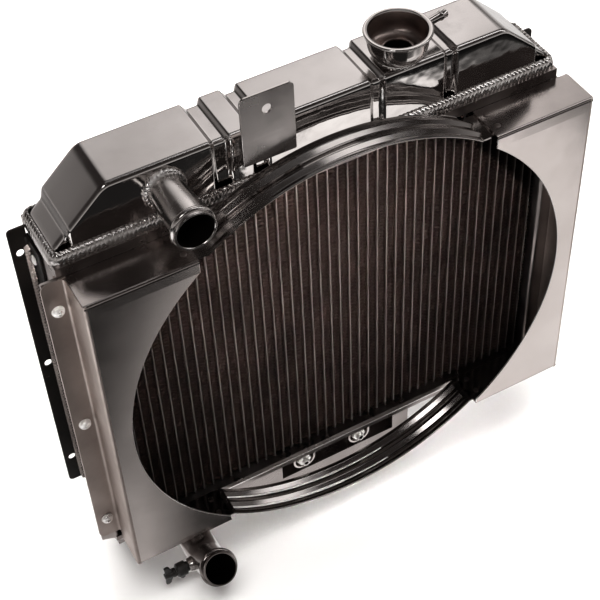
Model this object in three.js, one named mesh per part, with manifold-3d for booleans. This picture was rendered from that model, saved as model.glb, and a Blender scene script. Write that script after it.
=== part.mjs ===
// Down-flow car radiator with a two-piece fan shroud, built as separate parts.
// Millimetres, +Z up. The shroud's front plate faces -Y. The model is laid out from the middle
// of the shroud's lower front edge and moved at the end so that the origin is the middle of
// the bounding box's base.
import * as THREE from 'three';
import { mergeVertices } from 'three/addons/utils/BufferGeometryUtils.js';
import { ConvexGeometry } from 'three/addons/geometries/ConvexGeometry.js';
import Module from 'manifold-3d';

const wasm = await Module();
wasm.setup();

// ---------------------------------------------------------------- driving dimensions
const GAP = 0.3;                    // air left between touching parts
const SHEET = 2;                    // shroud sheet thickness

const SHROUD_HALF = 280;            // half the shroud's width
const SHROUD_HEIGHT = 420;
const SHROUD_DEPTH = 46;
const FAN_RADIUS = 257;             // fan opening, also the arcs' inner radius
const FAN_Z = 207;                  // height of the fan's axis
const FLANGE_OUT = 304;             // outer edge of the screw flanges
const FLANGE_BOTTOM = 14;           // lower end of the screw flanges
const FLANGE_TOP = { left: 421, right: 392 };
const PANEL_END = 164;              // the panels stop this far from the fan's axis, short of the arcs
const FLANGE_CORNER = 9;
const SCREW_X = 292;
const SCREW_Z = [46, 214, 383];

const ARC_FRONT = 6;                // front and back edges of the arc bands
const ARC_BACK = 44;
const ARC_BEADS = [17, 33];         // middles of the stiffening beads, from the front plate
const ARC_BEAD_HEIGHT = 3.5;
const ARC_BEAD_HALF = 4.5;
const FOOT_REACH = 182;             // the arcs' feet run this far out, inside the shroud's flanges
const RIVET_X = 173;
const RIVET_Y = [15, 35];

const CENTRE_X = -10;               // the radiator's centre line, left of the fan's
const CORE_HALF = 272;
const CORE_FRONT = 55;              // tube noses, front and back
const CORE_BACK = 119;
const FIN_RECESS = 3;               // fins sit this far behind the tube noses
const TUBE_COUNT = 47;
const TUBE_PITCH = 11.5;
const TUBE_THICKNESS = 2.4;

const HEADER_HALF = 276;
const HEADER_FRONT = 46;
const HEADER_BACK = 130;
const TOP_HEADER = [420.3, 432];
const BOTTOM_HEADER = [-7, -0.3];

const TANK_FRONT = 54;
const TANK_BACK = 123;
const TANK_BASE = 432.3;
const TANK_TOP = 500;
const TANK_HALF_BASE = 272;
const TANK_HALF_TOP = 214;
const TANK_SHOULDER = 447;          // where the sloping ends start
const TANK_EDGE = 10;               // rounding along the top's long edges
const TANK_WALL = 3;
const PAD_HEIGHT = 4.5;             // pads stand this far proud of the grooves
const PADS = [[-262, -119], [-97, -78], [-58, 50], [68, 133], [150, 242]];
const BEAD_RISE = 13;

const INLET = { x: -168, z: 470, tip: -12, rootRadius: 17.5, tipRadius: 20.5, bead: 23, wall: 2 };
const NECK = { x: 93, y: 75, baseRadius: 17, cupRadius: 30, lipRadius: 34, lip: 532, bore: 13.5 };
const NIPPLE = { z: 521, radius: 3.6, bore: 2.1, length: 34, heading: -12 };
const BRACKET = { left: -96, right: -41, face: 33.5, bottom: 476, top: 555, corner: 6, hole: [-69, 535] };
const BRACKET_HOLE = 5;
const BRACKET_SHEET = 2.5;

const SUMP_X = [-262, 102];         // ends of the deep part of the bottom tank
const SUMP_BOTTOM = -86;
const TRAY_BOTTOM = -21;
const RECESS_X = [-72, 80];         // pocket in the sump's front for the cooler fittings
const RECESS_BOTTOM = -50;
const RECESS_BACK = 75;
const COOLER_X = [-41, 34];
const COOLER_Z = -36;
const COOLER_Y = 99;
const COOLER_RADIUS = 13;

const OUTLET = { x: -197, z: -62, radius: 19.5, bead: 22.5, wall: 2, bendStart: 26, bendRadius: 46,
  tilt: 36, nose: 38 };
const DRAIN = { y: 8, bung: 8, body: 8.5, key: 16 };

const MOUNT_SHEET = 3;
const MOUNT_Z = [36, 429];
const MOUNT_LEG_FRONT = 86;
const MOUNT_BACK = 120.5;
const MOUNT_OUT = 296;              // flange edge, from the radiator's centre line
const MOUNT_HOLES = [75, 236, 397];
const MOUNT_HOLE = 4.2;
const MOUNT_BOLT_Y = 103;
const SIDE_SHEET = 2.7;
const HEADER_CLEARANCE = 1.5;       // mounting angle's notch beside the header's end
const SHANK = 2.7;                  // radius of the screws' and bolts' shanks

const ROUND = 20;                   // facets round a pipe
const HOLE_ROUND = 10;              // facets round a small hole
const FAN_FACETS = 72;

// ---------------------------------------------------------------- shape helpers
const X = new THREE.Vector3(1, 0, 0);
const Y = new THREE.Vector3(0, 1, 0);
const Z = new THREE.Vector3(0, 0, 1);
const rad = THREE.MathUtils.degToRad;

// A closed three.js geometry as a manifold solid.
function solid(geometry) {
  const bare = geometry.index ? geometry.toNonIndexed() : geometry.clone();
  for (const name of Object.keys(bare.attributes)) {
    if (name !== 'position') bare.deleteAttribute(name);
  }
  const merged = mergeVertices(bare, 1e-3);
  return new wasm.Manifold(new wasm.Mesh({
    numProp: 3,
    vertProperties: new Float32Array(merged.attributes.position.array),
    triVerts: new Uint32Array(merged.index.array),
  }));
}

// A manifold solid as a three.js geometry.
function geometryOf(body) {
  const mesh = body.getMesh();
  const geometry = new THREE.BufferGeometry();
  geometry.setAttribute('position', new THREE.BufferAttribute(mesh.vertProperties, 3));
  geometry.setIndex(new THREE.BufferAttribute(mesh.triVerts, 1));
  return geometry;
}

function box(x, y, z) {
  const geometry = new THREE.BoxGeometry(x[1] - x[0], y[1] - y[0], z[1] - z[0]);
  geometry.translate((x[0] + x[1]) / 2, (y[0] + y[1]) / 2, (z[0] + z[1]) / 2);
  return solid(geometry);
}

function hull(points) {
  return solid(new ConvexGeometry(points.map((p) => new THREE.Vector3(...p))));
}

// A closed skin through rings of equally many points, each ring flat and convex.
function loft(rings) {
  const count = rings[0].length;
  const positions = rings.flat(2);
  const index = [];
  for (let i = 0; i + 1 < rings.length; i += 1) {
    for (let k = 0; k < count; k += 1) {
      const a = i * count + k;
      const b = i * count + ((k + 1) % count);
      index.push(a, b, b + count, a, b + count, a + count);
    }
  }
  const last = (rings.length - 1) * count;
  for (let k = 1; k + 1 < count; k += 1) {
    index.push(0, k + 1, k, last, last + k, last + k + 1);
  }
  const geometry = new THREE.BufferGeometry();
  geometry.setAttribute('position', new THREE.Float32BufferAttribute(positions, 3));
  geometry.setIndex(index);
  return solid(geometry);
}

// An outline drawn in X and Z, as thick as y[0] to y[1].
function plateXZ(shape, y) {
  const settings = { depth: y[1] - y[0], bevelEnabled: false, curveSegments: 8 };
  const geometry = new THREE.ExtrudeGeometry(shape, settings);
  geometry.applyMatrix4(new THREE.Matrix4().makeBasis(X, Z, Y.clone().negate()));
  geometry.translate(0, y[1], 0);
  return solid(geometry);
}

// A solid of revolution. The profile holds [radius, distance along the axis] pairs that start
// and end on the axis or close on themselves.
function turned(profile, at, direction, facets = ROUND) {
  const points = profile.map(([r, h]) => new THREE.Vector2(r, h));
  const geometry = new THREE.LatheGeometry(points, facets);
  const turn = new THREE.Quaternion().setFromUnitVectors(Y, direction.clone().normalize());
  geometry.applyQuaternion(turn);
  geometry.translate(...at);
  return solid(geometry);
}

function rod(radius, at, direction, length, facets = ROUND) {
  return turned([[0, 0], [radius, 0], [radius, length], [0, length]], at, direction, facets);
}

function hexPrism(across, at, direction, length) {
  return rod(across / Math.sqrt(3), at, direction, length, 6);
}

function roundedRect(x, z, radii) {
  const [bl, br, tr, tl] = radii;
  const shape = new THREE.Shape();
  shape.moveTo(x[0] + bl, z[0]);
  shape.lineTo(x[1] - br, z[0]);
  if (br) shape.absarc(x[1] - br, z[0] + br, br, -Math.PI / 2, 0, false);
  shape.lineTo(x[1], z[1] - tr);
  if (tr) shape.absarc(x[1] - tr, z[1] - tr, tr, 0, Math.PI / 2, false);
  shape.lineTo(x[0] + tl, z[1]);
  if (tl) shape.absarc(x[0] + tl, z[1] - tl, tl, Math.PI / 2, Math.PI, false);
  shape.lineTo(x[0], z[0] + bl);
  if (bl) shape.absarc(x[0] + bl, z[0] + bl, bl, Math.PI, 1.5 * Math.PI, false);
  return shape;
}

function joined(bodies) {
  return bodies.reduce((all, body) => all.add(body));
}

// Orders a span written from the left side for either side of the shroud.
function sideSpan(side, inner, outer) {
  return side < 0 ? [-outer, -inner] : [inner, outer];
}

// ---------------------------------------------------------------- scene
const MATERIALS = {
  polished: { color: 0xd8d4cf, roughness: 0.08, metalness: 1 },
  satin: { color: 0xbdb6b0, roughness: 0.38, metalness: 1 },
  brushed: { color: 0xa79d94, roughness: 0.45, metalness: 1 },
  fins: { color: 0x2a2523, roughness: 0.6, metalness: 0.6 },
  black: { color: 0x1b1918, roughness: 0.4, metalness: 0.2 },
  gloss: { color: 0x3c3532, roughness: 0.15, metalness: 0.9 },
  weld: { color: 0xcfc9c2, roughness: 0.25, metalness: 1 },
  zinc: { color: 0xe2ded8, roughness: 0.2, metalness: 1 },
};

const radiator = new THREE.Group();

function addPart(name, body, material) {
  const mesh = new THREE.Mesh(geometryOf(body), new THREE.MeshStandardMaterial(MATERIALS[material]));
  mesh.name = name;
  radiator.add(mesh);
}

// ---------------------------------------------------------------- core and side plates
function core() {
  const height = [0.2, TOP_HEADER[0] - GAP];
  const outline = [];
  const front = [CORE_FRONT, CORE_FRONT + FIN_RECESS, 1];
  const back = [CORE_BACK, CORE_BACK - FIN_RECESS, -1];
  for (const [nose, fins, way] of [front, back]) {
    outline.push([CENTRE_X - way * CORE_HALF, fins]);
    for (let i = 0; i < TUBE_COUNT; i += 1) {
      const x = CENTRE_X + way * (i - (TUBE_COUNT - 1) / 2) * TUBE_PITCH;
      const half = (way * TUBE_THICKNESS) / 2;
      outline.push([x - half, fins], [x - half, nose], [x + half, nose], [x + half, fins]);
    }
    outline.push([CENTRE_X + way * CORE_HALF, fins]);
  }
  const shape = new THREE.Shape(outline.map(([x, y]) => new THREE.Vector2(x, y)));
  const geometry = new THREE.ExtrudeGeometry(shape, { depth: height[1] - height[0], bevelEnabled: false });
  return solid(geometry.translate(0, 0, height[0]));
}

// Angle along the core's side: a web against the fins and a flange behind the shroud's.
function sideChannel(side) {
  const inner = CORE_HALF + GAP + side * CENTRE_X;
  const web = box(sideSpan(side, inner, inner + SIDE_SHEET), [SHROUD_DEPTH + GAP, CORE_BACK], [0.2, 420]);
  const top = side < 0 ? SHROUD_HEIGHT : FLANGE_TOP.right - 1;
  const flange = roundedRect(sideSpan(side, inner, FLANGE_OUT - 2), [6, top],
    side < 0 ? [FLANGE_CORNER, 0, 0, FLANGE_CORNER] : [0, FLANGE_CORNER, FLANGE_CORNER, 0]);
  let body = web.add(plateXZ(flange, [SHROUD_DEPTH + GAP, SHROUD_DEPTH + GAP + SIDE_SHEET]));
  for (const z of SCREW_Z) {
    body = body.subtract(rod(3, [side * SCREW_X, SHROUD_DEPTH - 2, z], Y, 8, HOLE_ROUND));
  }
  return body;
}

// Black angle that bolts the radiator to the car.
function mountFlange(side) {
  const inner = CORE_HALF + SIDE_SHEET + 2 * GAP + side * CENTRE_X;
  const outer = MOUNT_OUT + side * CENTRE_X;
  const top = MOUNT_Z[1] - 12;
  const leg = box(sideSpan(side, inner, inner + MOUNT_SHEET), [MOUNT_LEG_FRONT, MOUNT_BACK],
    [MOUNT_Z[0], top]);
  const corners = side < 0 ? [3, 0, 0, 5] : [0, 3, 5, 0];
  const flange = roundedRect(sideSpan(side, inner, outer), MOUNT_Z, corners);
  let body = leg.add(plateXZ(flange, [MOUNT_BACK - MOUNT_SHEET, MOUNT_BACK]));
  const headerSide = HEADER_HALF + side * CENTRE_X + HEADER_CLEARANCE;
  body = body.subtract(box(sideSpan(side, inner - 5, headerSide), [40, 140], [top, 450]));
  for (const z of MOUNT_HOLES) {
    const x = side * (inner + outer + MOUNT_SHEET) / 2;
    body = body.subtract(rod(MOUNT_HOLE, [x, MOUNT_BACK - 8, z], Y, 12, HOLE_ROUND));
    const outward = X.clone().multiplyScalar(side);
    body = body.subtract(rod(3, [side * (inner - 3), MOUNT_BOLT_Y, z], outward, 10, HOLE_ROUND));
  }
  return body;
}

// Domed bolt that holds the mounting angle to the side channel.
function mountBolt(side, z) {
  const face = CORE_HALF + SIDE_SHEET + 3 * GAP + MOUNT_SHEET + side * CENTRE_X;
  const profile = [[0, -MOUNT_SHEET], [SHANK, -MOUNT_SHEET], [SHANK, 0], [5.4, 0], [5.2, 1.6], [3.6, 2.8],
    [0, 3.2]];
  return turned(profile, [side * face, MOUNT_BOLT_Y, z], X.clone().multiplyScalar(side), 14);
}

// ---------------------------------------------------------------- headers and tanks
function header(z, pocket) {
  const x = [CENTRE_X - HEADER_HALF, CENTRE_X + HEADER_HALF];
  const plate = box(x, [HEADER_FRONT, HEADER_BACK], z);
  const hollow = box([x[0] + 10, x[1] - 10], [TANK_FRONT + TANK_WALL, TANK_BACK - TANK_WALL], pocket);
  return plate.subtract(hollow);
}

// The tank's cross-section, moved in by the inset, as [y, z] pairs round the top.
function tankSection(inset) {
  const points = [[TANK_FRONT + inset, TANK_BASE], [TANK_BACK - inset, TANK_BASE]];
  const radius = TANK_EDGE;
  for (let i = 0; i <= 6; i += 1) {
    const a = (i / 6) * (Math.PI / 2);
    const rise = TANK_TOP - inset - radius + radius * Math.sin(a);
    const run = radius * (1 - Math.cos(a));
    points.push([TANK_FRONT + inset + run, rise], [TANK_BACK - inset - run, rise]);
  }
  return points;
}

function tankBlock(x0, x1, inset) {
  return [x0, x1].flatMap((x) => tankSection(inset).map(([y, z]) => [CENTRE_X + x, y, z]));
}

// Side view that gives the tank its sloping ends, moved in by the inset.
function tankOutline(inset, base) {
  const shape = new THREE.Shape();
  const low = TANK_HALF_BASE - inset;
  const high = TANK_HALF_TOP - inset * 0.4;
  shape.moveTo(CENTRE_X - low, base);
  shape.lineTo(CENTRE_X + low, base);
  shape.lineTo(CENTRE_X + low, TANK_SHOULDER);
  shape.lineTo(CENTRE_X + high, TANK_TOP - inset);
  shape.lineTo(CENTRE_X - high, TANK_TOP - inset);
  shape.lineTo(CENTRE_X - low, TANK_SHOULDER);
  return plateXZ(shape, [TANK_FRONT - 10, TANK_BACK + 10]);
}

function topTankEnvelope(grow = 0) {
  const blocks = [hull(tankBlock(-TANK_HALF_BASE, TANK_HALF_BASE, PAD_HEIGHT - grow))];
  for (const [x0, x1] of PADS) {
    const left = x0 - CENTRE_X;
    const right = x1 - CENTRE_X;
    blocks.push(hull([...tankBlock(left, right, -grow),
      ...tankBlock(left - PAD_HEIGHT, right + PAD_HEIGHT, PAD_HEIGHT - grow)]));
  }
  return joined(blocks).intersect(tankOutline(-grow, TANK_BASE));
}

function topTank() {
  const inset = PAD_HEIGHT + TANK_WALL;
  const inside = hull(tankBlock(-TANK_HALF_BASE, TANK_HALF_BASE, inset).map(([x, y, z]) => [x, y, z - 1]))
    .add(box([CENTRE_X - 260, CENTRE_X + 260], [TANK_FRONT + inset, TANK_BACK - inset], [TANK_BASE - 2, 445]))
    .intersect(tankOutline(inset, TANK_BASE - 2));
  return topTankEnvelope()
    .subtract(inside)
    .subtract(rod(NECK.bore, [NECK.x, NECK.y, TANK_TOP - 14], Z, 30))
    .subtract(rod(INLET.rootRadius - INLET.wall, [INLET.x, TANK_FRONT - 5, INLET.z], Y, 20));
}

// Fillet weld round the foot of a tank, from the header's rim up the tank's wall.
function weldRing(rim, wall, z) {
  const corner = ([x, y], h) => [[x[0], y[0], h], [x[1], y[0], h], [x[1], y[1], h], [x[0], y[1], h]];
  const reach = { x: [wall.x[0] - GAP, wall.x[1] + GAP], y: [wall.y[0] - GAP, wall.y[1] + GAP] };
  const mound = hull([...corner([rim.x, rim.y], z[0]), ...corner([[reach.x[0] - 1, reach.x[1] + 1],
    [reach.y[0] - 1, reach.y[1] + 1]], z[1])]);
  const heights = [Math.min(...z) - 1, Math.max(...z) + 1];
  return mound.subtract(box(reach.x, reach.y, heights));
}

function bottomTank() {
  const x = [CENTRE_X - HEADER_HALF + 2, CENTRE_X + HEADER_HALF - 2];
  const top = BOTTOM_HEADER[0] - GAP;
  const tray = box(x, [TANK_FRONT - 4, TANK_BACK + 4], [TRAY_BOTTOM, top]);
  const edge = 12;
  const rim = (dz, dy) => SUMP_X.flatMap((end) => [TANK_FRONT + dy, TANK_BACK - dy]
    .map((y) => [end, y, SUMP_BOTTOM + dz]));
  const sump = hull([...rim(TRAY_BOTTOM + 1 - SUMP_BOTTOM, 0), ...rim(edge, 0),
    ...rim(edge * 0.3, edge * 0.3), ...rim(0, edge)]);
  const recess = box(RECESS_X, [TANK_FRONT - 1, RECESS_BACK], [RECESS_BOTTOM, TRAY_BOTTOM]);
  const wall = TANK_WALL;
  const deep = [SUMP_BOTTOM + wall, top + 1];
  const fore = TANK_FRONT + wall;
  const aft = TANK_BACK - wall;
  const hollow = joined([
    box([x[0] + wall, x[1] - wall], [fore - 4, aft + 4], [TRAY_BOTTOM + wall, top + 1]),
    box([SUMP_X[0] + wall, SUMP_X[1] - wall], [RECESS_BACK + wall, aft - 3], deep),
    box([SUMP_X[0] + wall, SUMP_X[1] - wall], [fore + 4, aft - 3], [deep[0] + 4, RECESS_BOTTOM - wall]),
    box([SUMP_X[0] + wall, RECESS_X[0] - wall], [fore, aft], [deep[0] + 12, top + 1]),
    box([RECESS_X[1] + wall, SUMP_X[1] - wall], [fore, aft], [deep[0] + 12, top + 1]),
  ]);
  let body = tray.add(sump).subtract(recess).subtract(hollow);
  for (const at of COOLER_X) {
    body = body.subtract(rod(7.5, [at, RECESS_BACK - 2, COOLER_Z], Y, 8, HOLE_ROUND));
  }
  return body.subtract(rod(OUTLET.radius - OUTLET.wall, [OUTLET.x, TANK_FRONT - 5, OUTLET.z], Y, 20));
}

// ---------------------------------------------------------------- shroud
function shroudPanel(side) {
  const outside = box(sideSpan(side, PANEL_END, SHROUD_HALF), [0, SHROUD_DEPTH], [0, SHROUD_HEIGHT]);
  const inside = box(sideSpan(side, -1, SHROUD_HALF - SHEET), [SHEET, SHROUD_DEPTH + 1],
    [SHEET, SHROUD_HEIGHT - SHEET]);
  const flangeZ = [FLANGE_BOTTOM, side < 0 ? FLANGE_TOP.left : FLANGE_TOP.right];
  const outline = roundedRect(sideSpan(side, SHROUD_HALF - SHEET, FLANGE_OUT), flangeZ,
    side < 0 ? [FLANGE_CORNER, 0, 0, FLANGE_CORNER] : [0, FLANGE_CORNER, FLANGE_CORNER, 0]);
  let body = outside.subtract(inside).add(plateXZ(outline, [SHROUD_DEPTH - SHEET, SHROUD_DEPTH]));
  body = body.subtract(rod(FAN_RADIUS, [0, -5, FAN_Z], Y, SHROUD_DEPTH + 10, FAN_FACETS));
  for (const z of SCREW_Z) {
    body = body.subtract(rod(3.3, [side * SCREW_X, SHROUD_DEPTH - 6, z], Y, 12, HOLE_ROUND));
  }
  for (const y of RIVET_Y) {
    for (const end of [-1, 1]) {
      body = body.subtract(rod(2.2, [side * RIVET_X, y, flangeFace(end) - 8], Z, 16, HOLE_ROUND));
    }
  }
  return body;
}

// Outer face of the shroud's top flange (end 1) and bottom flange (end -1).
function flangeFace(end) {
  return end > 0 ? SHROUD_HEIGHT : 0;
}

// Lower and upper face of an arc's foot, which lies against its flange's inner face.
function footZ(end) {
  const face = flangeFace(end) - end * (SHEET + GAP);
  return end > 0 ? [face - SHEET, face] : [face, face + SHEET];
}

// Curved band that closes the fan opening beyond the flanges, with beads and two feet.
function shroudArc(end) {
  const inner = FAN_RADIUS;
  const outer = FAN_RADIUS + SHEET;
  const bead = (r) => ARC_BEADS.flatMap((y) => [[r, y - ARC_BEAD_HALF], [r + ARC_BEAD_HEIGHT, y - 1.6],
    [r + ARC_BEAD_HEIGHT, y + 1.6], [r, y + ARC_BEAD_HALF]]);
  const out = [[outer, ARC_FRONT], ...bead(outer), [outer, ARC_BACK]];
  const back = [[inner, ARC_FRONT], ...bead(inner), [inner, ARC_BACK]].reverse();
  const profile = [...out, ...back, out[0]];
  const ring = turned(profile, [0, 0, FAN_Z], Y, FAN_FACETS);
  const level = footZ(end);
  const keep = box([-300, 300], [-10, 60], end > 0 ? [level[0] - 2, 600] : [-200, level[1] + 2]);
  const bandX = Math.sqrt(FAN_RADIUS ** 2 - (level[0] - FAN_Z) ** 2);
  let body = ring.intersect(keep);
  for (const side of [-1, 1]) {
    const tab = box(sideSpan(side, bandX - 4, FOOT_REACH), [ARC_FRONT, ARC_BACK], level);
    body = body.add(tab.subtract(rod(FAN_RADIUS, [0, 0, FAN_Z], Y, 60, FAN_FACETS)));
    for (const y of RIVET_Y) {
      body = body.subtract(rod(2.2, [side * RIVET_X, y, flangeFace(end) - 8], Z, 16, HOLE_ROUND));
    }
  }
  return body;
}

function rivet(x, y, end) {
  const head = GAP;
  const tail = 2 * (SHEET + GAP);
  const profile = [[0, -tail - 1.2], [3.2, -tail - 1.2], [3.2, -tail], [1.9, -tail], [1.9, head], [3.4, head],
    [2.6, head + 0.9], [0, head + 1.2]];
  return turned(profile, [x, y, flangeFace(end)], Z.clone().multiplyScalar(end), 10);
}

function shroudScrew(x, z) {
  const at = [x, SHROUD_DEPTH - SHEET - GAP, z];
  const profile = [[0, -9], [SHANK, -9], [SHANK, 0], [6.6, 0], [6.6, 1.2], [5.6, 1.2], [5.6, 3.2],
    [2.6, 5.6], [0, 5.8]];
  return turned(profile, at, Y.clone().negate(), 14);
}

// ---------------------------------------------------------------- pipes, neck and bracket
function inletPipe() {
  const { rootRadius: root, tipRadius: tip, bead, wall } = INLET;
  const length = TANK_FRONT - GAP - INLET.tip;
  const profile = [[root - wall, 0], [root, 0], [tip, length - 9], [bead - 0.8, length - 8],
    [bead, length - 6.5], [bead - 0.8, length - 5], [tip + 0.6, length - 4], [tip + 0.6, length],
    [tip - wall, length], [root - wall, 0]];
  return turned(profile, [INLET.x, TANK_FRONT - GAP, INLET.z], Y.clone().negate());
}

// Fillet weld round a pipe where it meets a flat wall.
function weldCollar(radius, at, direction, size) {
  const r = radius + GAP;
  return turned([[r, 0], [r + size, 0], [r + size * 0.75, size * 0.6], [r + 0.8, size], [r, size], [r, 0]],
    at, direction);
}

// Straight out of the sump, round a bend and up towards the hose: the pipe's stations as
// [distance along Y, height, tilt].
const OUTLET_TILT = rad(OUTLET.tilt);
const OUTLET_HEADING = new THREE.Vector3(0, -Math.cos(OUTLET_TILT), Math.sin(OUTLET_TILT));

function outletStations(lead, nose) {
  const steps = 6;
  const stations = [[TANK_FRONT - GAP + lead, OUTLET.z, 0]];
  for (let i = 0; i <= steps; i += 1) {
    const a = (OUTLET_TILT * i) / steps;
    stations.push([OUTLET.bendStart - OUTLET.bendRadius * Math.sin(a),
      OUTLET.z + OUTLET.bendRadius * (1 - Math.cos(a)), a]);
  }
  const [y, z] = stations[steps + 1];
  stations.push([y + OUTLET_HEADING.y * nose, z + OUTLET_HEADING.z * nose, OUTLET_TILT]);
  return stations;
}

function outletTube(radius, lead, nose) {
  const ring = ([y, z, a]) => Array.from({ length: ROUND }, (_, k) => {
    const t = (k / ROUND) * 2 * Math.PI;
    const lift = radius * Math.sin(t);
    return [OUTLET.x + radius * Math.cos(t), y + lift * Math.sin(a), z + lift * Math.cos(a)];
  });
  return loft(outletStations(lead, nose).map(ring));
}

function outletPipe() {
  const { radius, bead, nose, wall } = OUTLET;
  const [y, z] = outletStations(0, nose).at(-2);
  const profile = [[radius - 1, nose - 9], [radius, nose - 9], [bead - 0.8, nose - 8], [bead, nose - 6.5],
    [bead - 0.8, nose - 5], [radius, nose - 4], [radius - 1, nose - 4], [radius - 1, nose - 9]];
  const ridge = turned(profile, [OUTLET.x, y, z], OUTLET_HEADING);
  return outletTube(radius, 0, nose).add(ridge).subtract(outletTube(radius - wall, 3, nose + 3));
}

function fillerNeck() {
  const { baseRadius: base, cupRadius: cup, lipRadius: lipR, lip, bore } = NECK;
  const foot = TANK_TOP + GAP;
  const h = lip - foot;
  const outside = [[base, -6], [base, h * 0.2], [base + 3, h * 0.36], [cup - 4, h * 0.56], [cup, h * 0.75],
    [cup + 0.5, h - 4], [lipR - 0.8, h - 3.2], [lipR, h - 1.6], [lipR - 0.8, h]];
  const inside = [[cup, h], [cup - 1.8, h - 2.5], [cup - 2.5, h * 0.76], [cup - 7, h * 0.62],
    [bore + 4.5, h * 0.52], [bore + 4.5, h * 0.6], [bore, h * 0.6], [bore, -6]];
  const profile = [[bore, -6], ...outside, ...inside];
  return turned(profile, [NECK.x, NECK.y, foot], Z).subtract(topTankEnvelope(GAP));
}

// Small overflow tube out of the cup's side, flared at its end.
function nippleDirection() {
  return new THREE.Vector3(Math.cos(rad(NIPPLE.heading)), -Math.sin(rad(NIPPLE.heading)), 0);
}

function overflowNipple() {
  const direction = nippleDirection();
  const from = new THREE.Vector3(NECK.x, NECK.y, NIPPLE.z).addScaledVector(direction, NECK.cupRadius + 1.1);
  const { radius: r, bore, length } = NIPPLE;
  const profile = [[bore, 0], [r + 1.6, 0], [r, 2], [r, length - 8], [r + 0.9, length - 6], [r, length - 4],
    [r, length], [bore, length], [bore, 0]];
  return turned(profile, from.toArray(), direction, 12);
}

function tankBracket() {
  const { left, right, face, bottom, top, corner, hole } = BRACKET;
  const plate = plateXZ(roundedRect([left, right], [bottom, top], [1, 1, corner, corner]),
    [face, face + BRACKET_SHEET])
    .subtract(rod(BRACKET_HOLE, [hole[0], face - 5, hole[1]], Y, 15, HOLE_ROUND));
  const returns = [[left, left + BRACKET_SHEET], [right - BRACKET_SHEET, right]].map((x) => hull([
    ...[face + 1, TANK_FRONT - GAP].flatMap((y) => x.map((at) => [at, y, bottom])),
    ...x.map((at) => [at, face + 1, TANK_TOP + 14]),
    ...x.map((at) => [at, TANK_FRONT - GAP, TANK_TOP - TANK_EDGE]),
  ]));
  return joined([plate, ...returns]);
}

function bracketWeld(x, direction) {
  const near = x + direction * GAP;
  const far = x + direction * 4.5;
  const back = TANK_FRONT - GAP;
  return hull([BRACKET.bottom + 1, TANK_TOP - TANK_EDGE - 1].flatMap((z) => [
    [near, back, z], [far, back, z], [near, back - 4.5, z], [near + direction * 2.6, back - 2.8, z],
  ]));
}

// ---------------------------------------------------------------- cooler and drain
function oilCooler() {
  const barrel = turned([[0, 0], [COOLER_RADIUS - 3, 0], [COOLER_RADIUS, 3], [COOLER_RADIUS, 137],
    [COOLER_RADIUS - 3, 140], [0, 140]], [-73, COOLER_Y, COOLER_Z], X);
  const ports = COOLER_X.map((x) => rod(6, [x, RECESS_BACK + GAP, COOLER_Z], Y, COOLER_Y - RECESS_BACK, 12));
  return joined([barrel, ...ports]);
}

function coolerBung(x) {
  const face = RECESS_BACK - GAP;
  const profile = [[6.3, 0], [11.5, 0], [11.5, 3], [10, 4], [10, 14], [6.3, 14], [6.3, 0]];
  return turned(profile, [x, face, COOLER_Z], Y.clone().negate());
}

function coolerFitting(x) {
  const forward = Y.clone().negate();
  const start = RECESS_BACK - 14 - 2 * GAP;
  const nut = hexPrism(16, [x, start, COOLER_Z], forward, 6);
  const tail = rod(5.9, [x, start + 12, COOLER_Z], forward, 13, 16);
  const spout = rod(4.6, [x, start - 5, COOLER_Z], forward, 5, 16);
  return joined([nut, tail, spout]).subtract(rod(2.6, [x, start + 14, COOLER_Z], forward, 30, HOLE_ROUND));
}

const OUT = X.clone().negate();
const DRAIN_BEND = Math.asin((OUTLET.bendStart - DRAIN.y) / OUTLET.bendRadius);
const DRAIN_Z = OUTLET.z + OUTLET.bendRadius * (1 - Math.cos(DRAIN_BEND));
const DRAIN_ROOT = OUTLET.x - OUTLET.radius;

// Boss welded to the outlet pipe's side.
function drainBung() {
  const profile = [[0, -6], [DRAIN.bung + 1.5, -6], [DRAIN.bung, 5], [0, 5]];
  const boss = turned(profile, [DRAIN_ROOT, DRAIN.y, DRAIN_Z], OUT);
  const alongBend = new THREE.Vector3(0, -40, 16);
  const pipe = rod(OUTLET.radius + 1.2, [OUTLET.x, DRAIN.y + 20, DRAIN_Z - 8], alongBend, 44);
  return boss.subtract(pipe).subtract(rod(3, [DRAIN_ROOT + 10, DRAIN.y, DRAIN_Z], OUT, 30, HOLE_ROUND));
}

function drainBody() {
  const from = DRAIN_ROOT - 5 - GAP;
  const at = [from, DRAIN.y, DRAIN_Z];
  const profile = [[0, 0], [6, 0], [6, 2.5], [DRAIN.body, 3], [DRAIN.body, 13], [6.5, 15], [0, 15]];
  const barrel = turned(profile, at, OUT);
  const spout = rod(3.4, [from - 8, DRAIN.y, DRAIN_Z], Z.clone().negate(), 15, HOLE_ROUND);
  return barrel.add(spout)
    .subtract(rod(3.6, [from - 5, DRAIN.y, DRAIN_Z], OUT, 20))
    .subtract(rod(2, [from - 8, DRAIN.y, DRAIN_Z], Z.clone().negate(), 20, HOLE_ROUND))
    .subtract(rod(2.2, [from + 2, DRAIN.y, DRAIN_Z], OUT, 10, HOLE_ROUND));
}

// Tapered-looking plug that turns inside the body, with a cross hole.
function drainPlug() {
  const from = DRAIN_ROOT - 5 - GAP - 5.4;
  return rod(3.3, [from, DRAIN.y, DRAIN_Z], OUT, 12.9, HOLE_ROUND)
    .subtract(rod(1.3, [from - 2.6, DRAIN.y - 10, DRAIN_Z], Y, 20, 8));
}

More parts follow.
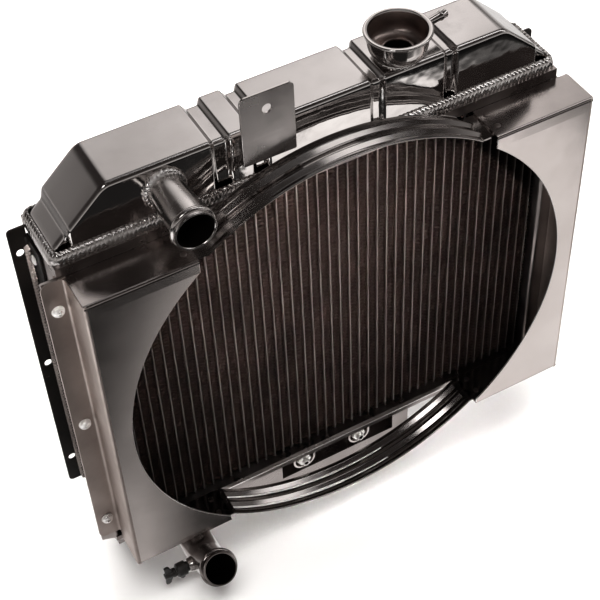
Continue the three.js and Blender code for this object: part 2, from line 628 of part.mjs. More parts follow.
// Wing key on the end of the plug.
function drainKey() {
  const from = DRAIN_ROOT - 5 - GAP - 15.6;
  const hub = turned([[0, 3], [4.6, 3], [4.6, 9], [3.4, 14], [0, 14]], [from, DRAIN.y, DRAIN_Z], OUT, 16)
    .add(turned([[3.7, 0], [5.4, 0], [5.4, 4], [3.7, 4], [3.7, 0]], [from, DRAIN.y, DRAIN_Z], OUT, 16));
  const wing = box([from - 12, from - 1], [DRAIN.y - 1.6, DRAIN.y + 1.6],
    [DRAIN_Z - DRAIN.key, DRAIN_Z + DRAIN.key]);
  const waist = box([from - 3.2, from + 1], [DRAIN.y - 5, DRAIN.y + 5], [DRAIN_Z - 3.7, DRAIN_Z + 3.7]);
  const socket = rod(3.6, [from + 1, DRAIN.y, DRAIN_Z], OUT, 4, 16);
  return hub.add(wing.subtract(waist)).subtract(socket);
}

// ---------------------------------------------------------------- assembly
addPart('core', core(), 'fins');
for (const [word, side] of [['left', -1], ['right', 1]]) {
  addPart(`side_channel_${word}`, sideChannel(side), 'brushed');
  addPart(`mount_flange_${word}`, mountFlange(side), 'black');
  addPart(`shroud_panel_${word}`, shroudPanel(side), 'satin');
  SCREW_Z.forEach((z, i) => {
    addPart(`shroud_screw_${word}_${i + 1}`, shroudScrew(side * SCREW_X, z), 'zinc');
  });
  MOUNT_HOLES.forEach((z, i) => {
    addPart(`mount_bolt_${word}_${i + 1}`, mountBolt(side, z), 'zinc');
  });
}
for (const [word, end] of [['top', 1], ['bottom', -1]]) {
  addPart(`shroud_arc_${word}`, shroudArc(end), 'gloss');
  for (const [hand, side] of [['left', -1], ['right', 1]]) {
    RIVET_Y.forEach((y, i) => {
      addPart(`arc_rivet_${word}_${hand}_${i + 1}`, rivet(side * RIVET_X, y, end), 'zinc');
    });
  }
}

addPart('top_header', header(TOP_HEADER, [TOP_HEADER[0] + 4, TOP_HEADER[1] + 1]), 'satin');
addPart('top_tank', topTank(), 'polished');
addPart('bottom_header', header(BOTTOM_HEADER, [BOTTOM_HEADER[0] - 1, BOTTOM_HEADER[1] - 3]), 'satin');
addPart('bottom_tank', bottomTank(), 'brushed');

const rimX = [CENTRE_X - HEADER_HALF + 1, CENTRE_X + HEADER_HALF - 1];
const rimY = [HEADER_FRONT + 1, HEADER_BACK - 1];
const topWall = { x: [CENTRE_X - TANK_HALF_BASE, CENTRE_X + TANK_HALF_BASE], y: [TANK_FRONT, TANK_BACK] };
addPart('top_weld_bead', weldRing({ x: rimX, y: rimY }, topWall, [TANK_BASE, TANK_BASE + BEAD_RISE]), 'weld');
const trayWall = { x: [rimX[0] + 1, rimX[1] - 1], y: [TANK_FRONT - 4, TANK_BACK + 4] };
addPart('bottom_weld_bead', weldRing({ x: [rimX[0] - 0.6, rimX[1] + 0.6], y: rimY }, trayWall,
  [BOTTOM_HEADER[0] - GAP, BOTTOM_HEADER[0] - 9]), 'weld');

const forward = Y.clone().negate();
addPart('inlet_pipe', inletPipe(), 'satin');
addPart('inlet_weld', weldCollar(INLET.rootRadius + 0.7, [INLET.x, TANK_FRONT - GAP, INLET.z], forward, 5),
  'weld');
addPart('outlet_pipe', outletPipe(), 'satin');
addPart('outlet_weld', weldCollar(OUTLET.radius, [OUTLET.x, TANK_FRONT - GAP, OUTLET.z], forward, 4), 'weld');
addPart('filler_neck', fillerNeck(), 'polished');
addPart('filler_weld', weldCollar(NECK.baseRadius, [NECK.x, NECK.y, TANK_TOP - 3], Z, 6)
  .subtract(topTankEnvelope(GAP)), 'weld');
addPart('overflow_nipple', overflowNipple(), 'satin');
addPart('tank_bracket', tankBracket(), 'satin');
addPart('bracket_weld_left', bracketWeld(BRACKET.left, -1), 'weld');
addPart('bracket_weld_right', bracketWeld(BRACKET.right, 1), 'weld');

addPart('oil_cooler', oilCooler(), 'brushed');
COOLER_X.forEach((x, i) => {
  addPart(`cooler_bung_${i + 1}`, coolerBung(x), 'satin');
  addPart(`cooler_fitting_${i + 1}`, coolerFitting(x), 'zinc');
});
addPart('drain_bung', drainBung(), 'satin');
addPart('drain_body', drainBody(), 'black');
addPart('drain_plug', drainPlug(), 'zinc');
addPart('drain_key', drainKey(), 'black');

// The origin goes to the middle of the bounding box's base.
const bounds = new THREE.Box3().setFromObject(radiator);
const middle = bounds.getCenter(new THREE.Vector3());
radiator.position.set(-middle.x, -middle.y, -bounds.min.z);

export default radiator;
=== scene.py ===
"""Looks of a car radiator with a fan shroud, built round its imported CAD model."""
import math

import bmesh
import bpy
from mathutils import Matrix, Vector, noise
from mathutils.geometry import delaunay_2d_cdt

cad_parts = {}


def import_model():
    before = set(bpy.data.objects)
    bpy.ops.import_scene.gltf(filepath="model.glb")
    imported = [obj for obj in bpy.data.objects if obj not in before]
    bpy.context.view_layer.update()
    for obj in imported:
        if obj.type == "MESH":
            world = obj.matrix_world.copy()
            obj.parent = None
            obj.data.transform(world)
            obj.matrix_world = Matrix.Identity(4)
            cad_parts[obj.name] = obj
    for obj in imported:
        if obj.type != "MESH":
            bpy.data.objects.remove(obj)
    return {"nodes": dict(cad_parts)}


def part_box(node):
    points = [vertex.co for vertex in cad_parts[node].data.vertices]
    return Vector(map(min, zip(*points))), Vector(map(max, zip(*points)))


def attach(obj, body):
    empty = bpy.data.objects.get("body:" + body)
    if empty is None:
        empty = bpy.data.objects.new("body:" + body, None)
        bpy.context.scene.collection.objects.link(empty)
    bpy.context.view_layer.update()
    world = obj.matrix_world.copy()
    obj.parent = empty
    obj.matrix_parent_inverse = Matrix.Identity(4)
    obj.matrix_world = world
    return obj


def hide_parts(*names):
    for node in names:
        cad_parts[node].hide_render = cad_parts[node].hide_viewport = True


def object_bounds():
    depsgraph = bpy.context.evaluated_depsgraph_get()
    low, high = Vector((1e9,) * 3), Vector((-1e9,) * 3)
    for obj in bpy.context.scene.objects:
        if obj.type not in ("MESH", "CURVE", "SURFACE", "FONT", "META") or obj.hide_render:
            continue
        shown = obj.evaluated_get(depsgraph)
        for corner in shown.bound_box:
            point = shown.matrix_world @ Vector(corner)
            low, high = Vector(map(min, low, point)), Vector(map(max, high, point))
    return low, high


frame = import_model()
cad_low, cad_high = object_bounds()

# ---------------------------------------------------------------- frame and sizes, in millimetres
# Shapes are laid out from the middle of the shroud's lower front edge, x to the right, y back, z up.
MM = 0.001
FLANGE_OUT = 304
LEFT_PANEL_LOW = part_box("shroud_panel_left")[0]
ORIGIN = LEFT_PANEL_LOW + Vector((FLANGE_OUT * MM, 0, 0))


def span(node):
    """Lowest and highest corner of a CAD node, in millimetres from the shroud's lower front edge."""
    low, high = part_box(node)
    return (low - ORIGIN) / MM, (high - ORIGIN) / MM


def centre(node):
    """Middle of a CAD node's box, as x, y and z."""
    low, high = span(node)
    return [(start + stop) / 2 for start, stop in zip(low, high)]


SHEET = 2
SHROUD_HALF = 280
SHROUD_HEIGHT = 420
PANEL_END = abs(span("shroud_panel_left")[1].x)
FLANGE_TOP = {"left": 421, "right": 392}
FAN_RADIUS = 257
FAN_Z = 207

CENTRE_X = -10
CORE_HALF = 272
TUBE_COUNT = 47
TUBE_PITCH = 11.5
TUBE_WIDTH = 2.4
PADS = ((-262, -119), (-97, -78), (-58, 50), (68, 133), (150, 242))

BOLT_RADIUS = 5.4
PIPE_WALL = 1.8
NECK_CUP = 30

SIDES = (("left", -1), ("right", 1))
ENDS = (("top", 1), ("bottom", -1))
FRONT = Vector((0, -1, 0))
UP = Vector((0, 0, 1))
LEFT = Vector((-1, 0, 0))
CREASE = 32


# ---------------------------------------------------------------- mesh helpers
class Skin:
    """Closed shells gathered into one mesh. Paint is the number of a face's material."""

    def __init__(self):
        self.points = []
        self.faces = []
        self.paints = []

    def shell(self, points, faces, paint=0):
        """Adds one shell, joining points that coincide and dropping faces that vanish."""
        index = []
        known = {}
        for point in points:
            key = tuple(round(c, 4) for c in point)
            if key not in known:
                known[key] = len(self.points)
                self.points.append(Vector(point))
            index.append(known[key])
        for number, face in enumerate(faces):
            kept = []
            for corner in face:
                if not kept or index[corner] != kept[-1]:
                    kept.append(index[corner])
            if len(kept) > 1 and kept[0] == kept[-1]:
                kept.pop()
            if len(kept) > 2:
                self.faces.append(kept)
                self.paints.append(paint(number) if callable(paint) else paint)

    def rings(self, rings, around=False, paint=0):
        """A skin through rings of equally many points. Around joins the last ring to the first."""
        count = len(rings[0])
        faces = []
        for i in range(len(rings) - (0 if around else 1)):
            here = i * count
            ahead = (i + 1) % len(rings) * count
            for k in range(count):
                side = (k + 1) % count
                faces.append((here + k, here + side, ahead + side, ahead + k))
        if not around:
            last = (len(rings) - 1) * count
            faces.append(tuple(reversed(range(count))))
            faces.append(tuple(last + k for k in range(count)))
        self.shell([p for ring in rings for p in ring], faces, paint)

    def turned(self, profile, at, axis, segments=64, paint=0):
        """A closed profile of (radius, height) pairs turned round an axis."""
        turn = UP.rotation_difference(axis)
        rings = []
        for i in range(segments):
            angle = 2 * math.pi * i / segments
            cos, sin = math.cos(angle), math.sin(angle)
            rings.append([Vector(at) + turn @ Vector((r * cos, r * sin, h)) for r, h in profile])
        count = len(profile)
        by_segment = (lambda number: paint(number % count)) if callable(paint) else paint
        self.rings(rings, around=True, paint=by_segment)

    def prism(self, ring, place, ends, paint=0):
        """A flat ring drawn out between two ends, which may be a function of the ring's points."""
        depths = [ends(u, v) if callable(ends) else ends for u, v in ring]
        first = [place(u, v, start) for (u, v), (start, _) in zip(ring, depths)]
        last = [place(u, v, stop) for (u, v), (_, stop) in zip(ring, depths)]
        self.rings([first, last], paint=paint)

    def plate(self, outline, holes, place, thickness, chamfer=0.4, paint=0):
        """A flat plate with chamfered edges. Its outline runs anticlockwise and its holes clockwise."""
        loops = [outline, *holes]
        inner = [inset(loop, chamfer) for loop in loops]
        flat = [Vector(p) for loop in inner for p in loop]
        edges = []
        count = 0
        for loop in loops:
            edges += [(count + i, count + (i + 1) % len(loop)) for i in range(len(loop))]
            count += len(loop)
        spots, _, triangles, *_ = delaunay_2d_cdt(flat, edges, [], 1, 1e-6)
        kept = [corners for corners in triangles
                if not any(holds(hole, middle([spots[i] for i in corners])) for hole in inner[1:])]
        layers = ((0, inner), (chamfer, loops), (thickness - chamfer, loops), (thickness, inner))
        points = [place(p[0], p[1], depth) for depth, rims in layers for rim in rims for p in rim]
        points += [place(p.x, p.y, depth) for depth in (0, thickness) for p in spots]
        faces = []
        for layer in range(len(layers) - 1):
            near = layer * count
            far = near + count
            faces += [(near + a, near + b, far + b, far + a) for a, b in edges]
        base = len(layers) * count
        for offset in (base, base + len(spots)):
            faces += [tuple(offset + i for i in corners) for corners in kept]
        self.shell(points, faces, paint)


def upright(x, y, z):
    """Place for a shape drawn in x and y, drawn out along z."""
    return Vector((x, y, z))


def facing(y=0):
    """Place for a shape drawn in x and z, drawn out backwards from y."""
    return lambda u, v, w: Vector((u, y + w, v))


def sideways(x, way):
    """Place for a shape drawn in y and z, drawn out from x to one side."""
    return lambda u, v, w: Vector((x + way * w, u, v))


def middle(points):
    """Average of flat points."""
    return sum((Vector(p) for p in points), Vector((0, 0))) / len(points)


def holds(loop, point):
    """True where a closed loop goes round the point."""
    inside = False
    for i, (x0, y0) in enumerate(loop):
        x1, y1 = loop[i - 1]
        if (y0 > point.y) != (y1 > point.y) and point.x < (x1 - x0) * (point.y - y0) / (y1 - y0) + x0:
            inside = not inside
    return inside


def heading(start, stop):
    """Direction from one point to another."""
    return (Vector(stop) - Vector(start)).normalized()


def shifted(corner, arrive, leave, distance):
    """A corner moved to the left of the directions that meet there, less so where it is sharp."""
    normal = Vector((-arrive.y - leave.y, arrive.x + leave.x)).normalized()
    stretch = max(0.5, normal.dot(Vector((-arrive.y, arrive.x))))
    return tuple(Vector(corner) + normal * distance / stretch)


def inset(loop, distance):
    """The loop moved sideways, to its left, at every corner."""
    moved = []
    for i, corner in enumerate(loop):
        arrive = heading(loop[i - 1], corner)
        leave = heading(corner, loop[(i + 1) % len(loop)])
        moved.append(shifted(corner, arrive, leave, distance))
    return moved


def thick_line(line, thickness):
    """A folded sheet's section: the line, and back along its left side."""
    moved = []
    for i, corner in enumerate(line):
        arrive = heading(line[i - 1], corner) if i else heading(corner, line[1])
        leave = heading(corner, line[i + 1]) if i + 1 < len(line) else arrive
        moved.append(shifted(corner, arrive, leave, thickness))
    return list(line) + moved[::-1]


def angles(start, stop, steps):
    """Evenly spaced angles in radians, between two in degrees."""
    return [math.radians(start + (stop - start) * i / steps) for i in range(steps + 1)]


def arc(centre, radius, start, stop, steps):
    """Points on an arc, angles in degrees."""
    return [(centre[0] + radius * math.cos(a), centre[1] + radius * math.sin(a))
            for a in angles(start, stop, steps)]


def rounded_rectangle(x, z, radii, steps=10):
    """Outline from the lower left corner. Radii are lower left, lower right, upper right, upper left."""
    low_left, low_right, high_right, high_left = radii
    outline = arc((x[0] + low_left, z[0] + low_left), low_left, 180, 270, steps)
    outline += arc((x[1] - low_right, z[0] + low_right), low_right, 270, 360, steps)
    outline += arc((x[1] - high_right, z[1] - high_right), high_right, 0, 90, steps)
    outline += arc((x[0] + high_left, z[1] - high_left), high_left, 90, 180, steps)
    tidy = []
    for point in outline:
        if not tidy or (Vector(point) - Vector(tidy[-1])).length > 0.01:
            tidy.append(point)
    return tidy


def round_hole(x, z, radius, stretch=0):
    """A hole's outline, run backwards. Stretch makes it a slot along z."""
    loop = arc((x, z + stretch), radius, 180, 0, 16) + arc((x, z - stretch), radius, 0, -180, 16)
    return loop if stretch else loop[:-1]


def rod(radius, start, stop):
    """Profile of a solid rod between two heights."""
    return [(0, start), (radius, start), (radius, stop), (0, stop)]


def dome(radius, base, rise, step):
    """Profile of a domed head from its edge almost to its middle, in steps of so many degrees."""
    turns = [math.radians(a) for a in range(0, 90, step)]
    return [(radius * math.cos(a), base + rise * math.sin(a)) for a in turns]


def build(name, skin, smooth=True):
    """An object with a skin's faces and paints, its normals facing out."""
    mesh = bpy.data.meshes.new(name)
    shape = bmesh.new()
    verts = [shape.verts.new(ORIGIN + p * MM) for p in skin.points]
    for face, paint in zip(skin.faces, skin.paints):
        made = shape.faces.new([verts[i] for i in face])
        made.material_index = paint
        made.smooth = smooth
    bmesh.ops.recalc_face_normals(shape, faces=shape.faces)
    shape.to_mesh(mesh)
    shape.free()
    item = bpy.data.objects.new(name, mesh)
    bpy.context.scene.collection.objects.link(item)
    return item


def make(name, skin, materials, body="radiator", stands_for=(), crease=CREASE):
    """A piece from a skin, smooth except along edges sharper than the crease angle."""
    piece = build(name, skin)
    piece.data.set_sharp_from_angle(angle=math.radians(crease))
    for material in materials:
        piece.data.materials.append(material)
    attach(piece, body)
    if stands_for:
        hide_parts(*stands_for)
    return piece


def make_turned(name, profile, at, axis, segments, materials, node, paint=0):
    """A piece that is one turned profile and stands for one node."""
    skin = Skin()
    skin.turned(profile, at, axis, segments, paint)
    make(name, skin, materials, stands_for=[node])


def cut(piece, skins):
    """Cuts closed skins out of a piece, for good."""
    for skin in skins:
        cutter = build("cutter", skin, smooth=False)
        modifier = piece.modifiers.new("cut", "BOOLEAN")
        modifier.operation = "DIFFERENCE"
        modifier.solver = "EXACT"
        modifier.object = cutter
        depsgraph = bpy.context.evaluated_depsgraph_get()
        result = bpy.data.meshes.new_from_object(piece.evaluated_get(depsgraph))
        piece.modifiers.clear()
        piece.data = result
        bpy.data.objects.remove(cutter)
    piece.data.set_sharp_from_angle(angle=math.radians(CREASE))


def soften(piece, width, segments=2):
    """Rounds a piece's hard edges by a width in millimetres."""
    bevel = piece.modifiers.new("soft_edges", "BEVEL")
    bevel.width = width * MM
    bevel.segments = segments
    bevel.limit_method = "ANGLE"
    bevel.angle_limit = math.radians(30)
    bevel.harden_normals = True


def dress(name, material, width, segments=2):
    """Keeps a CAD node's own shape, with a better material and its hard edges rounded."""
    node = frame["nodes"][name]
    node.data.materials.clear()
    node.data.materials.append(material)
    soften(node, width, segments)


# ---------------------------------------------------------------- materials
def add(tree, kind, sockets, **settings):
    """A shader node with its settings. Each socket takes a value, or a link from another node's output."""
    node = tree.nodes.new(kind)
    for name, value in settings.items():
        setattr(node, name, value)
    for name, value in sockets.items():
        if isinstance(value, bpy.types.NodeSocket):
            tree.links.new(value, node.inputs[name])
        else:
            node.inputs[name].default_value = value
    return node


class Paint:
    """Builds one procedural material, keeping its node tree at hand."""

    def __init__(self, name, metallic, base, roughness):
        self.material = bpy.data.materials.new(name)
        self.material.use_nodes = True
        self.tree = self.material.node_tree
        self.shader = self.tree.nodes["Principled BSDF"]
        self.shader.inputs["Metallic"].default_value = metallic
        self.shader.inputs["Base Color"].default_value = (*base, 1)
        self.shader.inputs["Roughness"].default_value = roughness
        self.where = self.tree.nodes.new("ShaderNodeTexCoord").outputs["Object"]
        self.bump = None

    def noise(self, scale, detail=4, stretch=(1, 1, 1), roughness=0.55):
        """A noise with features of about 1 / scale metres, drawn out along each axis."""
        mapping = add(self.tree, "ShaderNodeMapping", {"Scale": stretch, "Vector": self.where})
        sockets = {"Vector": mapping.outputs["Vector"], "Scale": scale, "Detail": detail,
                   "Roughness": roughness}
        return add(self.tree, "ShaderNodeTexNoise", sockets).outputs["Fac"]

    def range(self, source, low, high, start=0.35, stop=0.65):
        """Maps the middle of a noise to a range of numbers."""
        sockets = {"Value": source, "From Min": start, "From Max": stop, "To Min": low, "To Max": high}
        return add(self.tree, "ShaderNodeMapRange", sockets).outputs["Result"]

    def mix(self, factor, first, second):
        """Blends two colours by a factor. A colour may be another node's output."""
        node = add(self.tree, "ShaderNodeMix", {"Factor": factor}, data_type="RGBA")
        sockets = [socket for socket in node.inputs if socket.type == "RGBA"]
        for colour, socket in zip((first, second), sockets):
            if isinstance(colour, tuple):
                socket.default_value = (*colour, 1)
            else:
                self.tree.links.new(colour, socket)
        return [socket for socket in node.outputs if socket.type == "RGBA"][0]

    def drive(self, socket, source):
        """Links a value to one of the shader's sockets."""
        self.tree.links.new(source, self.shader.inputs[socket])

    def raise_by(self, source, height):
        """Adds a bump of a height in millimetres."""
        sockets = {"Height": source, "Distance": height * MM, "Strength": 1}
        if self.bump:
            sockets["Normal"] = self.bump
        self.bump = add(self.tree, "ShaderNodeBump", sockets).outputs["Normal"]
        self.drive("Normal", self.bump)


# How far a metal's grain is drawn out along each axis: the smaller, the longer.
EVEN = (1, 1, 1)
ALONG_X = (0.05, 1, 1)
ALONG_Y = (1, 0.05, 1)
ALONG_Z = (1, 1, 0.05)


def metal(name, light, dark, roughness, grain, grain_height, haze=0.08, wave=0.0, metallic=1):
    """Bare sheet metal: cloudy tone, drawn grain, hazy patches and, if asked for, gentle waves."""
    paint = Paint(name, metallic, light, roughness)
    cloud = paint.noise(9, 5)
    streak = paint.noise(260, 3, grain)
    paint.drive("Base Color", paint.mix(paint.range(cloud, 0, 1), light, dark))
    paint.drive("Roughness", paint.range(paint.noise(34, 6), roughness - haze / 2, roughness + haze))
    paint.raise_by(streak, grain_height)
    if wave:
        paint.raise_by(paint.noise(14, 1), wave)
    return paint.material


def polished(name, light, dark, roughness, wave, wave_scale=22):
    """Hand-polished metal: nearly a mirror, with soft waves, fine scratches and smudges."""
    scratches, scratch_height = (0.06, 1, 1), 0.004
    paint = Paint(name, 1, light, roughness)
    paint.drive("Base Color", paint.mix(paint.range(paint.noise(7, 4), 0, 1), light, dark))
    smudge = paint.noise(26, 7, roughness=0.7)
    paint.drive("Roughness", paint.range(smudge, roughness, roughness + 0.13, 0.5, 0.75))
    paint.raise_by(paint.noise(420, 2, scratches), scratch_height)
    paint.raise_by(paint.noise(wave_scale, 1.5), wave)
    return paint.material


def coated(name, light, dark, roughness, peel_height, gloss=0.6, worn=None):
    """Paint over metal, with a fine orange peel and, if asked for, worn patches."""
    paint = Paint(name, 0, light, roughness)
    tone = paint.mix(paint.range(paint.noise(18, 6), 0, 1), light, dark)
    if worn:
        chips = paint.range(paint.noise(90, 8, roughness=0.7), 0, 1, 0.66, 0.7)
        tone = paint.mix(chips, tone, worn)
    paint.drive("Base Color", tone)
    paint.drive("Roughness", paint.range(paint.noise(60, 5), roughness - 0.06, roughness + 0.1))
    paint.raise_by(paint.noise(900, 2), peel_height)
    paint.shader.inputs["Specular IOR Level"].default_value = gloss
    return paint.material


# The upper tank, its neck, bracket and pipes.
tank_metal = polished("tank_hazy", (0.46, 0.435, 0.425), (0.38, 0.355, 0.345), 0.17, 0.05)
mirror_metal = polished("tank_mirror", (0.62, 0.595, 0.58), (0.50, 0.47, 0.455), 0.05, 0.34, 46)
neck_metal = polished("neck_polished", (0.50, 0.47, 0.455), (0.38, 0.35, 0.34), 0.1, 0.04)
seat_metal = metal("seat_dull", (0.46, 0.385, 0.36), (0.20, 0.165, 0.15), 0.34, EVEN, 0.05, 0.1)
# Painted shade: near-black metal for the insides of the bores, where the pipes and neck lie in shade.
bore_shade_metal = metal("bore_painted_shade", (0.05, 0.042, 0.038), (0.028, 0.023, 0.02), 0.55, EVEN, 0.05, 0.1)
pipe_metal = metal("pipe_satin", (0.55, 0.52, 0.505), (0.42, 0.39, 0.375), 0.2, ALONG_Y, 0.012, 0.1)
outlet_metal = metal("outlet_satin", (0.34, 0.31, 0.30), (0.24, 0.215, 0.205), 0.16, ALONG_Y, 0.012, 0.1)
weld_metal = metal("weld_bright", (0.84, 0.81, 0.79), (0.34, 0.305, 0.29), 0.18, EVEN, 0.08, 0.2)
header_metal = metal("header_satin", (0.42, 0.385, 0.37), (0.22, 0.19, 0.18), 0.28, EVEN, 0.06, 0.12)
bracket_metal = metal("bracket_satin", (0.56, 0.525, 0.51), (0.46, 0.425, 0.41), 0.2, (0.06, 1, 1), 0.012)

# The shroud, its arcs and the fasteners.
shroud_metal = metal("shroud_satin", (0.67, 0.618, 0.595), (0.59, 0.54, 0.517), 0.22, ALONG_X, 0.012,
                     haze=0.05, wave=0.04)
# Painted shade: a darker copy of the shroud's sheet metal for its top and bottom flanges, standing in for
# their darker reflections.
lip_shaded_metal = metal("lip_painted_shade", (0.50, 0.455, 0.44), (0.38, 0.345, 0.33), 0.2, ALONG_X, 0.012,
                  haze=0.05, wave=0.03)
edge_metal = metal("cut_edge", (0.86, 0.83, 0.81), (0.70, 0.67, 0.65), 0.3, EVEN, 0.03)
flange_metal = metal("flange_brushed", (0.56, 0.49, 0.455), (0.40, 0.34, 0.315), 0.46, ALONG_Z, 0.02,
                     haze=0.12, wave=0.04)
arc_metal = metal("arc_gloss", (0.34, 0.315, 0.305), (0.28, 0.26, 0.25), 0.15, EVEN, 0.002, 0.05)
# Painted highlight: pale, half-diffuse metal on the lower band's grooves, standing in for their bright
# reflection lines.
groove_highlight_metal = metal("arc_groove_painted_highlight", (0.95, 0.93, 0.915), (0.85, 0.82, 0.80), 0.14, EVEN, 0.002, 0.05,
                    metallic=0.4)
zinc = metal("zinc_plated", (0.92, 0.90, 0.88), (0.74, 0.71, 0.69), 0.3, EVEN, 0.01, 0.1, metallic=0.78)
rivet_metal = metal("rivet_dull", (0.30, 0.26, 0.245), (0.2, 0.17, 0.16), 0.3, EVEN, 0.01, 0.1)

# The core, its sides, the lower tank and the cock.
# Painted highlight: the tubes' front noses are a little lighter than their sides, for the lit line along each
# nose.
tube_nose_highlight = coated("tube_nose_painted_highlight", (0.044, 0.039, 0.037), (0.028, 0.024, 0.023), 0.7, 0.01, 0.12)
fin_paint = coated("fin_black", (0.011, 0.007, 0.006), (0.006, 0.004, 0.0035), 0.7, 0.01, 0.12)
strip_metal = coated("strip_fins", (0.36, 0.32, 0.30), (0.20, 0.17, 0.16), 0.4, 0.01)
side_metal = metal("side_brushed", (0.58, 0.53, 0.51), (0.40, 0.36, 0.345), 0.34, ALONG_Z, 0.03, 0.12)
angle_paint = coated("angle_black", (0.009, 0.007, 0.006), (0.005, 0.004, 0.0035), 0.45, 0.02, 0.22,
                     worn=(0.06, 0.05, 0.045))
sump_metal = metal("sump_brushed", (0.34, 0.31, 0.30), (0.25, 0.225, 0.215), 0.3, (1, 1, 0.06), 0.03, 0.12)
cooler_metal = metal("cooler_machined", (0.66, 0.62, 0.6), (0.45, 0.41, 0.39), 0.2, EVEN, 0.02, 0.1)
moulded = coated("moulded_black", (0.016, 0.014, 0.013), (0.011, 0.010, 0.009), 0.42, 0.03)


# ---------------------------------------------------------------- core
def tube_middles():
    """Where the core's tubes stand along x."""
    return [CENTRE_X + (i - (TUBE_COUNT - 1) / 2) * TUBE_PITCH for i in range(TUBE_COUNT)]


def core_tubes():
    """Flat tubes with round noses. The front noses have a lighter material of their own, a painted highlight
    for their lit edges.
    """
    low, high = span("core")
    nose = TUBE_WIDTH / 2
    steps = 12
    front_faces = range(3, 9)
    skin = Skin()
    for x in tube_middles():
        ring = arc((x, low.y + nose), nose, 180, 360, steps) + arc((x, high.y - nose), nose, 0, 180, steps)
        skin.prism(ring, upright, (low.z, high.z), paint=lambda k: 1 if k in front_faces else 0)
    make("core_tubes", skin, [fin_paint, tube_nose_highlight], stands_for=["core"])


def core_fins():
    """A zigzag of thin sheet in each gap between the tubes, set back behind their noses."""
    low, high = span("core")
    nose = TUBE_WIDTH / 2
    set_back, thin, fold, foot, slack = 3, 0.35, 2.6, 0.4, 0.998
    edges = [low.x + nose]
    for x in tube_middles():
        edges += [x - nose, x + nose]
    edges.append(high.x - nose)
    folds = int((high.z - low.z) / fold)
    step = (high.z - low.z) / folds
    skin = Skin()
    for left, right in zip(edges[0::2], edges[1::2]):
        line = [(left if k % 2 else right, low.z + foot + k * step * slack) for k in range(folds + 1)]
        ring = [(x, z - thin / 2) for x, z in line] + [(x, z + thin / 2) for x, z in reversed(line)]
        count = len(ring)
        points = [Vector((x, y, z)) for y in (low.y + set_back, high.y - set_back) for x, z in ring]
        faces = [(k, (k + 1) % count, count + (k + 1) % count, count + k) for k in range(count)]
        for k in range(count // 2 - 1):
            mirror = count - 1 - k
            faces.append((k, k + 1, mirror - 1, mirror))
            faces.append((count + k, count + mirror, count + mirror - 1, count + k + 1))
        skin.shell(points, faces)
    make("core_corrugated_fins", skin, [fin_paint])


def side_plate(word, side):
    """Channel down the core's side, bent outwards behind the shroud's screw flange."""
    low, high = span(f"side_channel_{word}")
    gap, sheet, bend = 0.3, 2.7, 5
    flange_low, flange_high = 6, min(high.z, FLANGE_TOP[word] - 1)
    web = abs(CENTRE_X * side + CORE_HALF) + gap
    flange_from = web + 2 * bend
    line = [(side * web, high.y), (side * web, low.y + bend)]
    line += [(side * x, y) for x, y in arc((web + bend, low.y + bend), bend, 180, 270, 6)]
    line += [(side * (FLANGE_OUT - 2), low.y)]

    def ends(x, _):
        """The flange is shorter than the channel's web."""
        return (flange_low, flange_high) if abs(x) > flange_from else (low.z, high.z)

    skin = Skin()
    skin.prism(thick_line(line, side * sheet), upright, ends)
    make(f"side_plate_{word}", skin, [side_metal], stands_for=[f"side_channel_{word}"])


def fin_strip(word, side):
    """Strip of corrugated fin against the mounting angle's leg."""
    low, high = span(f"mount_flange_{word}")
    pitch, thin, gap, reach, width = 4.5, 0.8, 3.6, 4.6, 7.9
    dip, crest = -1.2, 0.9
    foot, head_room = 6, 26
    inner = (abs(high.x) if side < 0 else low.x) + gap
    outer = inner + reach
    depths = (high.y - gap - width, high.y - gap)
    skin = Skin()
    for k in range(int((high.z - low.z - head_room) / pitch)):
        z = low.z + foot + k * pitch
        start, turn, stop = z + dip, z + crest, z + pitch + dip
        rising = [(inner, start), (outer, turn), (outer, turn + thin), (inner, start + thin)]
        falling = [(outer, turn), (outer, turn + thin), (inner, stop + thin), (inner, stop)]
        for ring in (rising, falling):
            skin.prism([(side * u, v) for u, v in ring], facing(), depths)
    make(f"side_fin_strip_{word}", skin, [strip_metal])


def mount_angle(word, side):
    """Black angle with three slotted holes that bolts the radiator down."""
    low, high = span(f"mount_flange_{word}")
    inner, outer = (high.x, low.x) if side < 0 else (low.x, high.x)
    sheet, corner, bend, chamfer = 3, 5, 3, 0.5
    hole_radius, hole_stretch = 4, 0.9
    header_gap, header_room = 1.5, 12
    notch = side * (abs(span("top_header")[0 if side < 0 else 1].x) + header_gap)
    step = high.z - header_room
    if side < 0:
        outline = arc((outer + corner, low.z + corner), corner, 180, 270, 8)
        outline += [(inner, low.z), (inner, step), (notch, step), (notch, high.z)]
        outline += arc((outer + corner, high.z - corner), corner, 90, 180, 8)
    else:
        outline = [(inner, low.z)] + arc((outer - corner, low.z + corner), corner, 270, 360, 8)
        outline += arc((outer - corner, high.z - corner), corner, 0, 90, 8)
        outline += [(notch, high.z), (notch, step), (inner, step)]
    hole_x = (inner + outer + side * sheet) / 2
    bolt_feet = [span(f"mount_bolt_{word}_{number}")[0].z for number in (1, 2, 3)]
    holes = [round_hole(hole_x, foot + BOLT_RADIUS, hole_radius, hole_stretch) for foot in bolt_feet]
    skin = Skin()
    skin.plate(outline, holes, facing(high.y - sheet), sheet, chamfer)
    leg = rounded_rectangle((low.y, high.y - sheet), (low.z, step), (2, 0.6, 0.6, 2), 4)
    skin.plate(leg, [], sideways(inner, side), sheet, chamfer)
    fillet = arc((inner + side * (sheet + bend), high.y - sheet - bend), bend, 90, 0 if side < 0 else 180, 8)
    fillet += [(inner + side * (sheet - 0.4), high.y - sheet + 0.4)]
    skin.prism(fillet, upright, (low.z + 1, step - 1))
    make(f"mount_angle_{word}", skin, [angle_paint], stands_for=[f"mount_flange_{word}"])


# ---------------------------------------------------------------- shroud
def opening_edge(z):
    """Half the width of the fan opening at a height."""
    return math.sqrt(max(0, FAN_RADIUS ** 2 - (z - FAN_Z) ** 2))


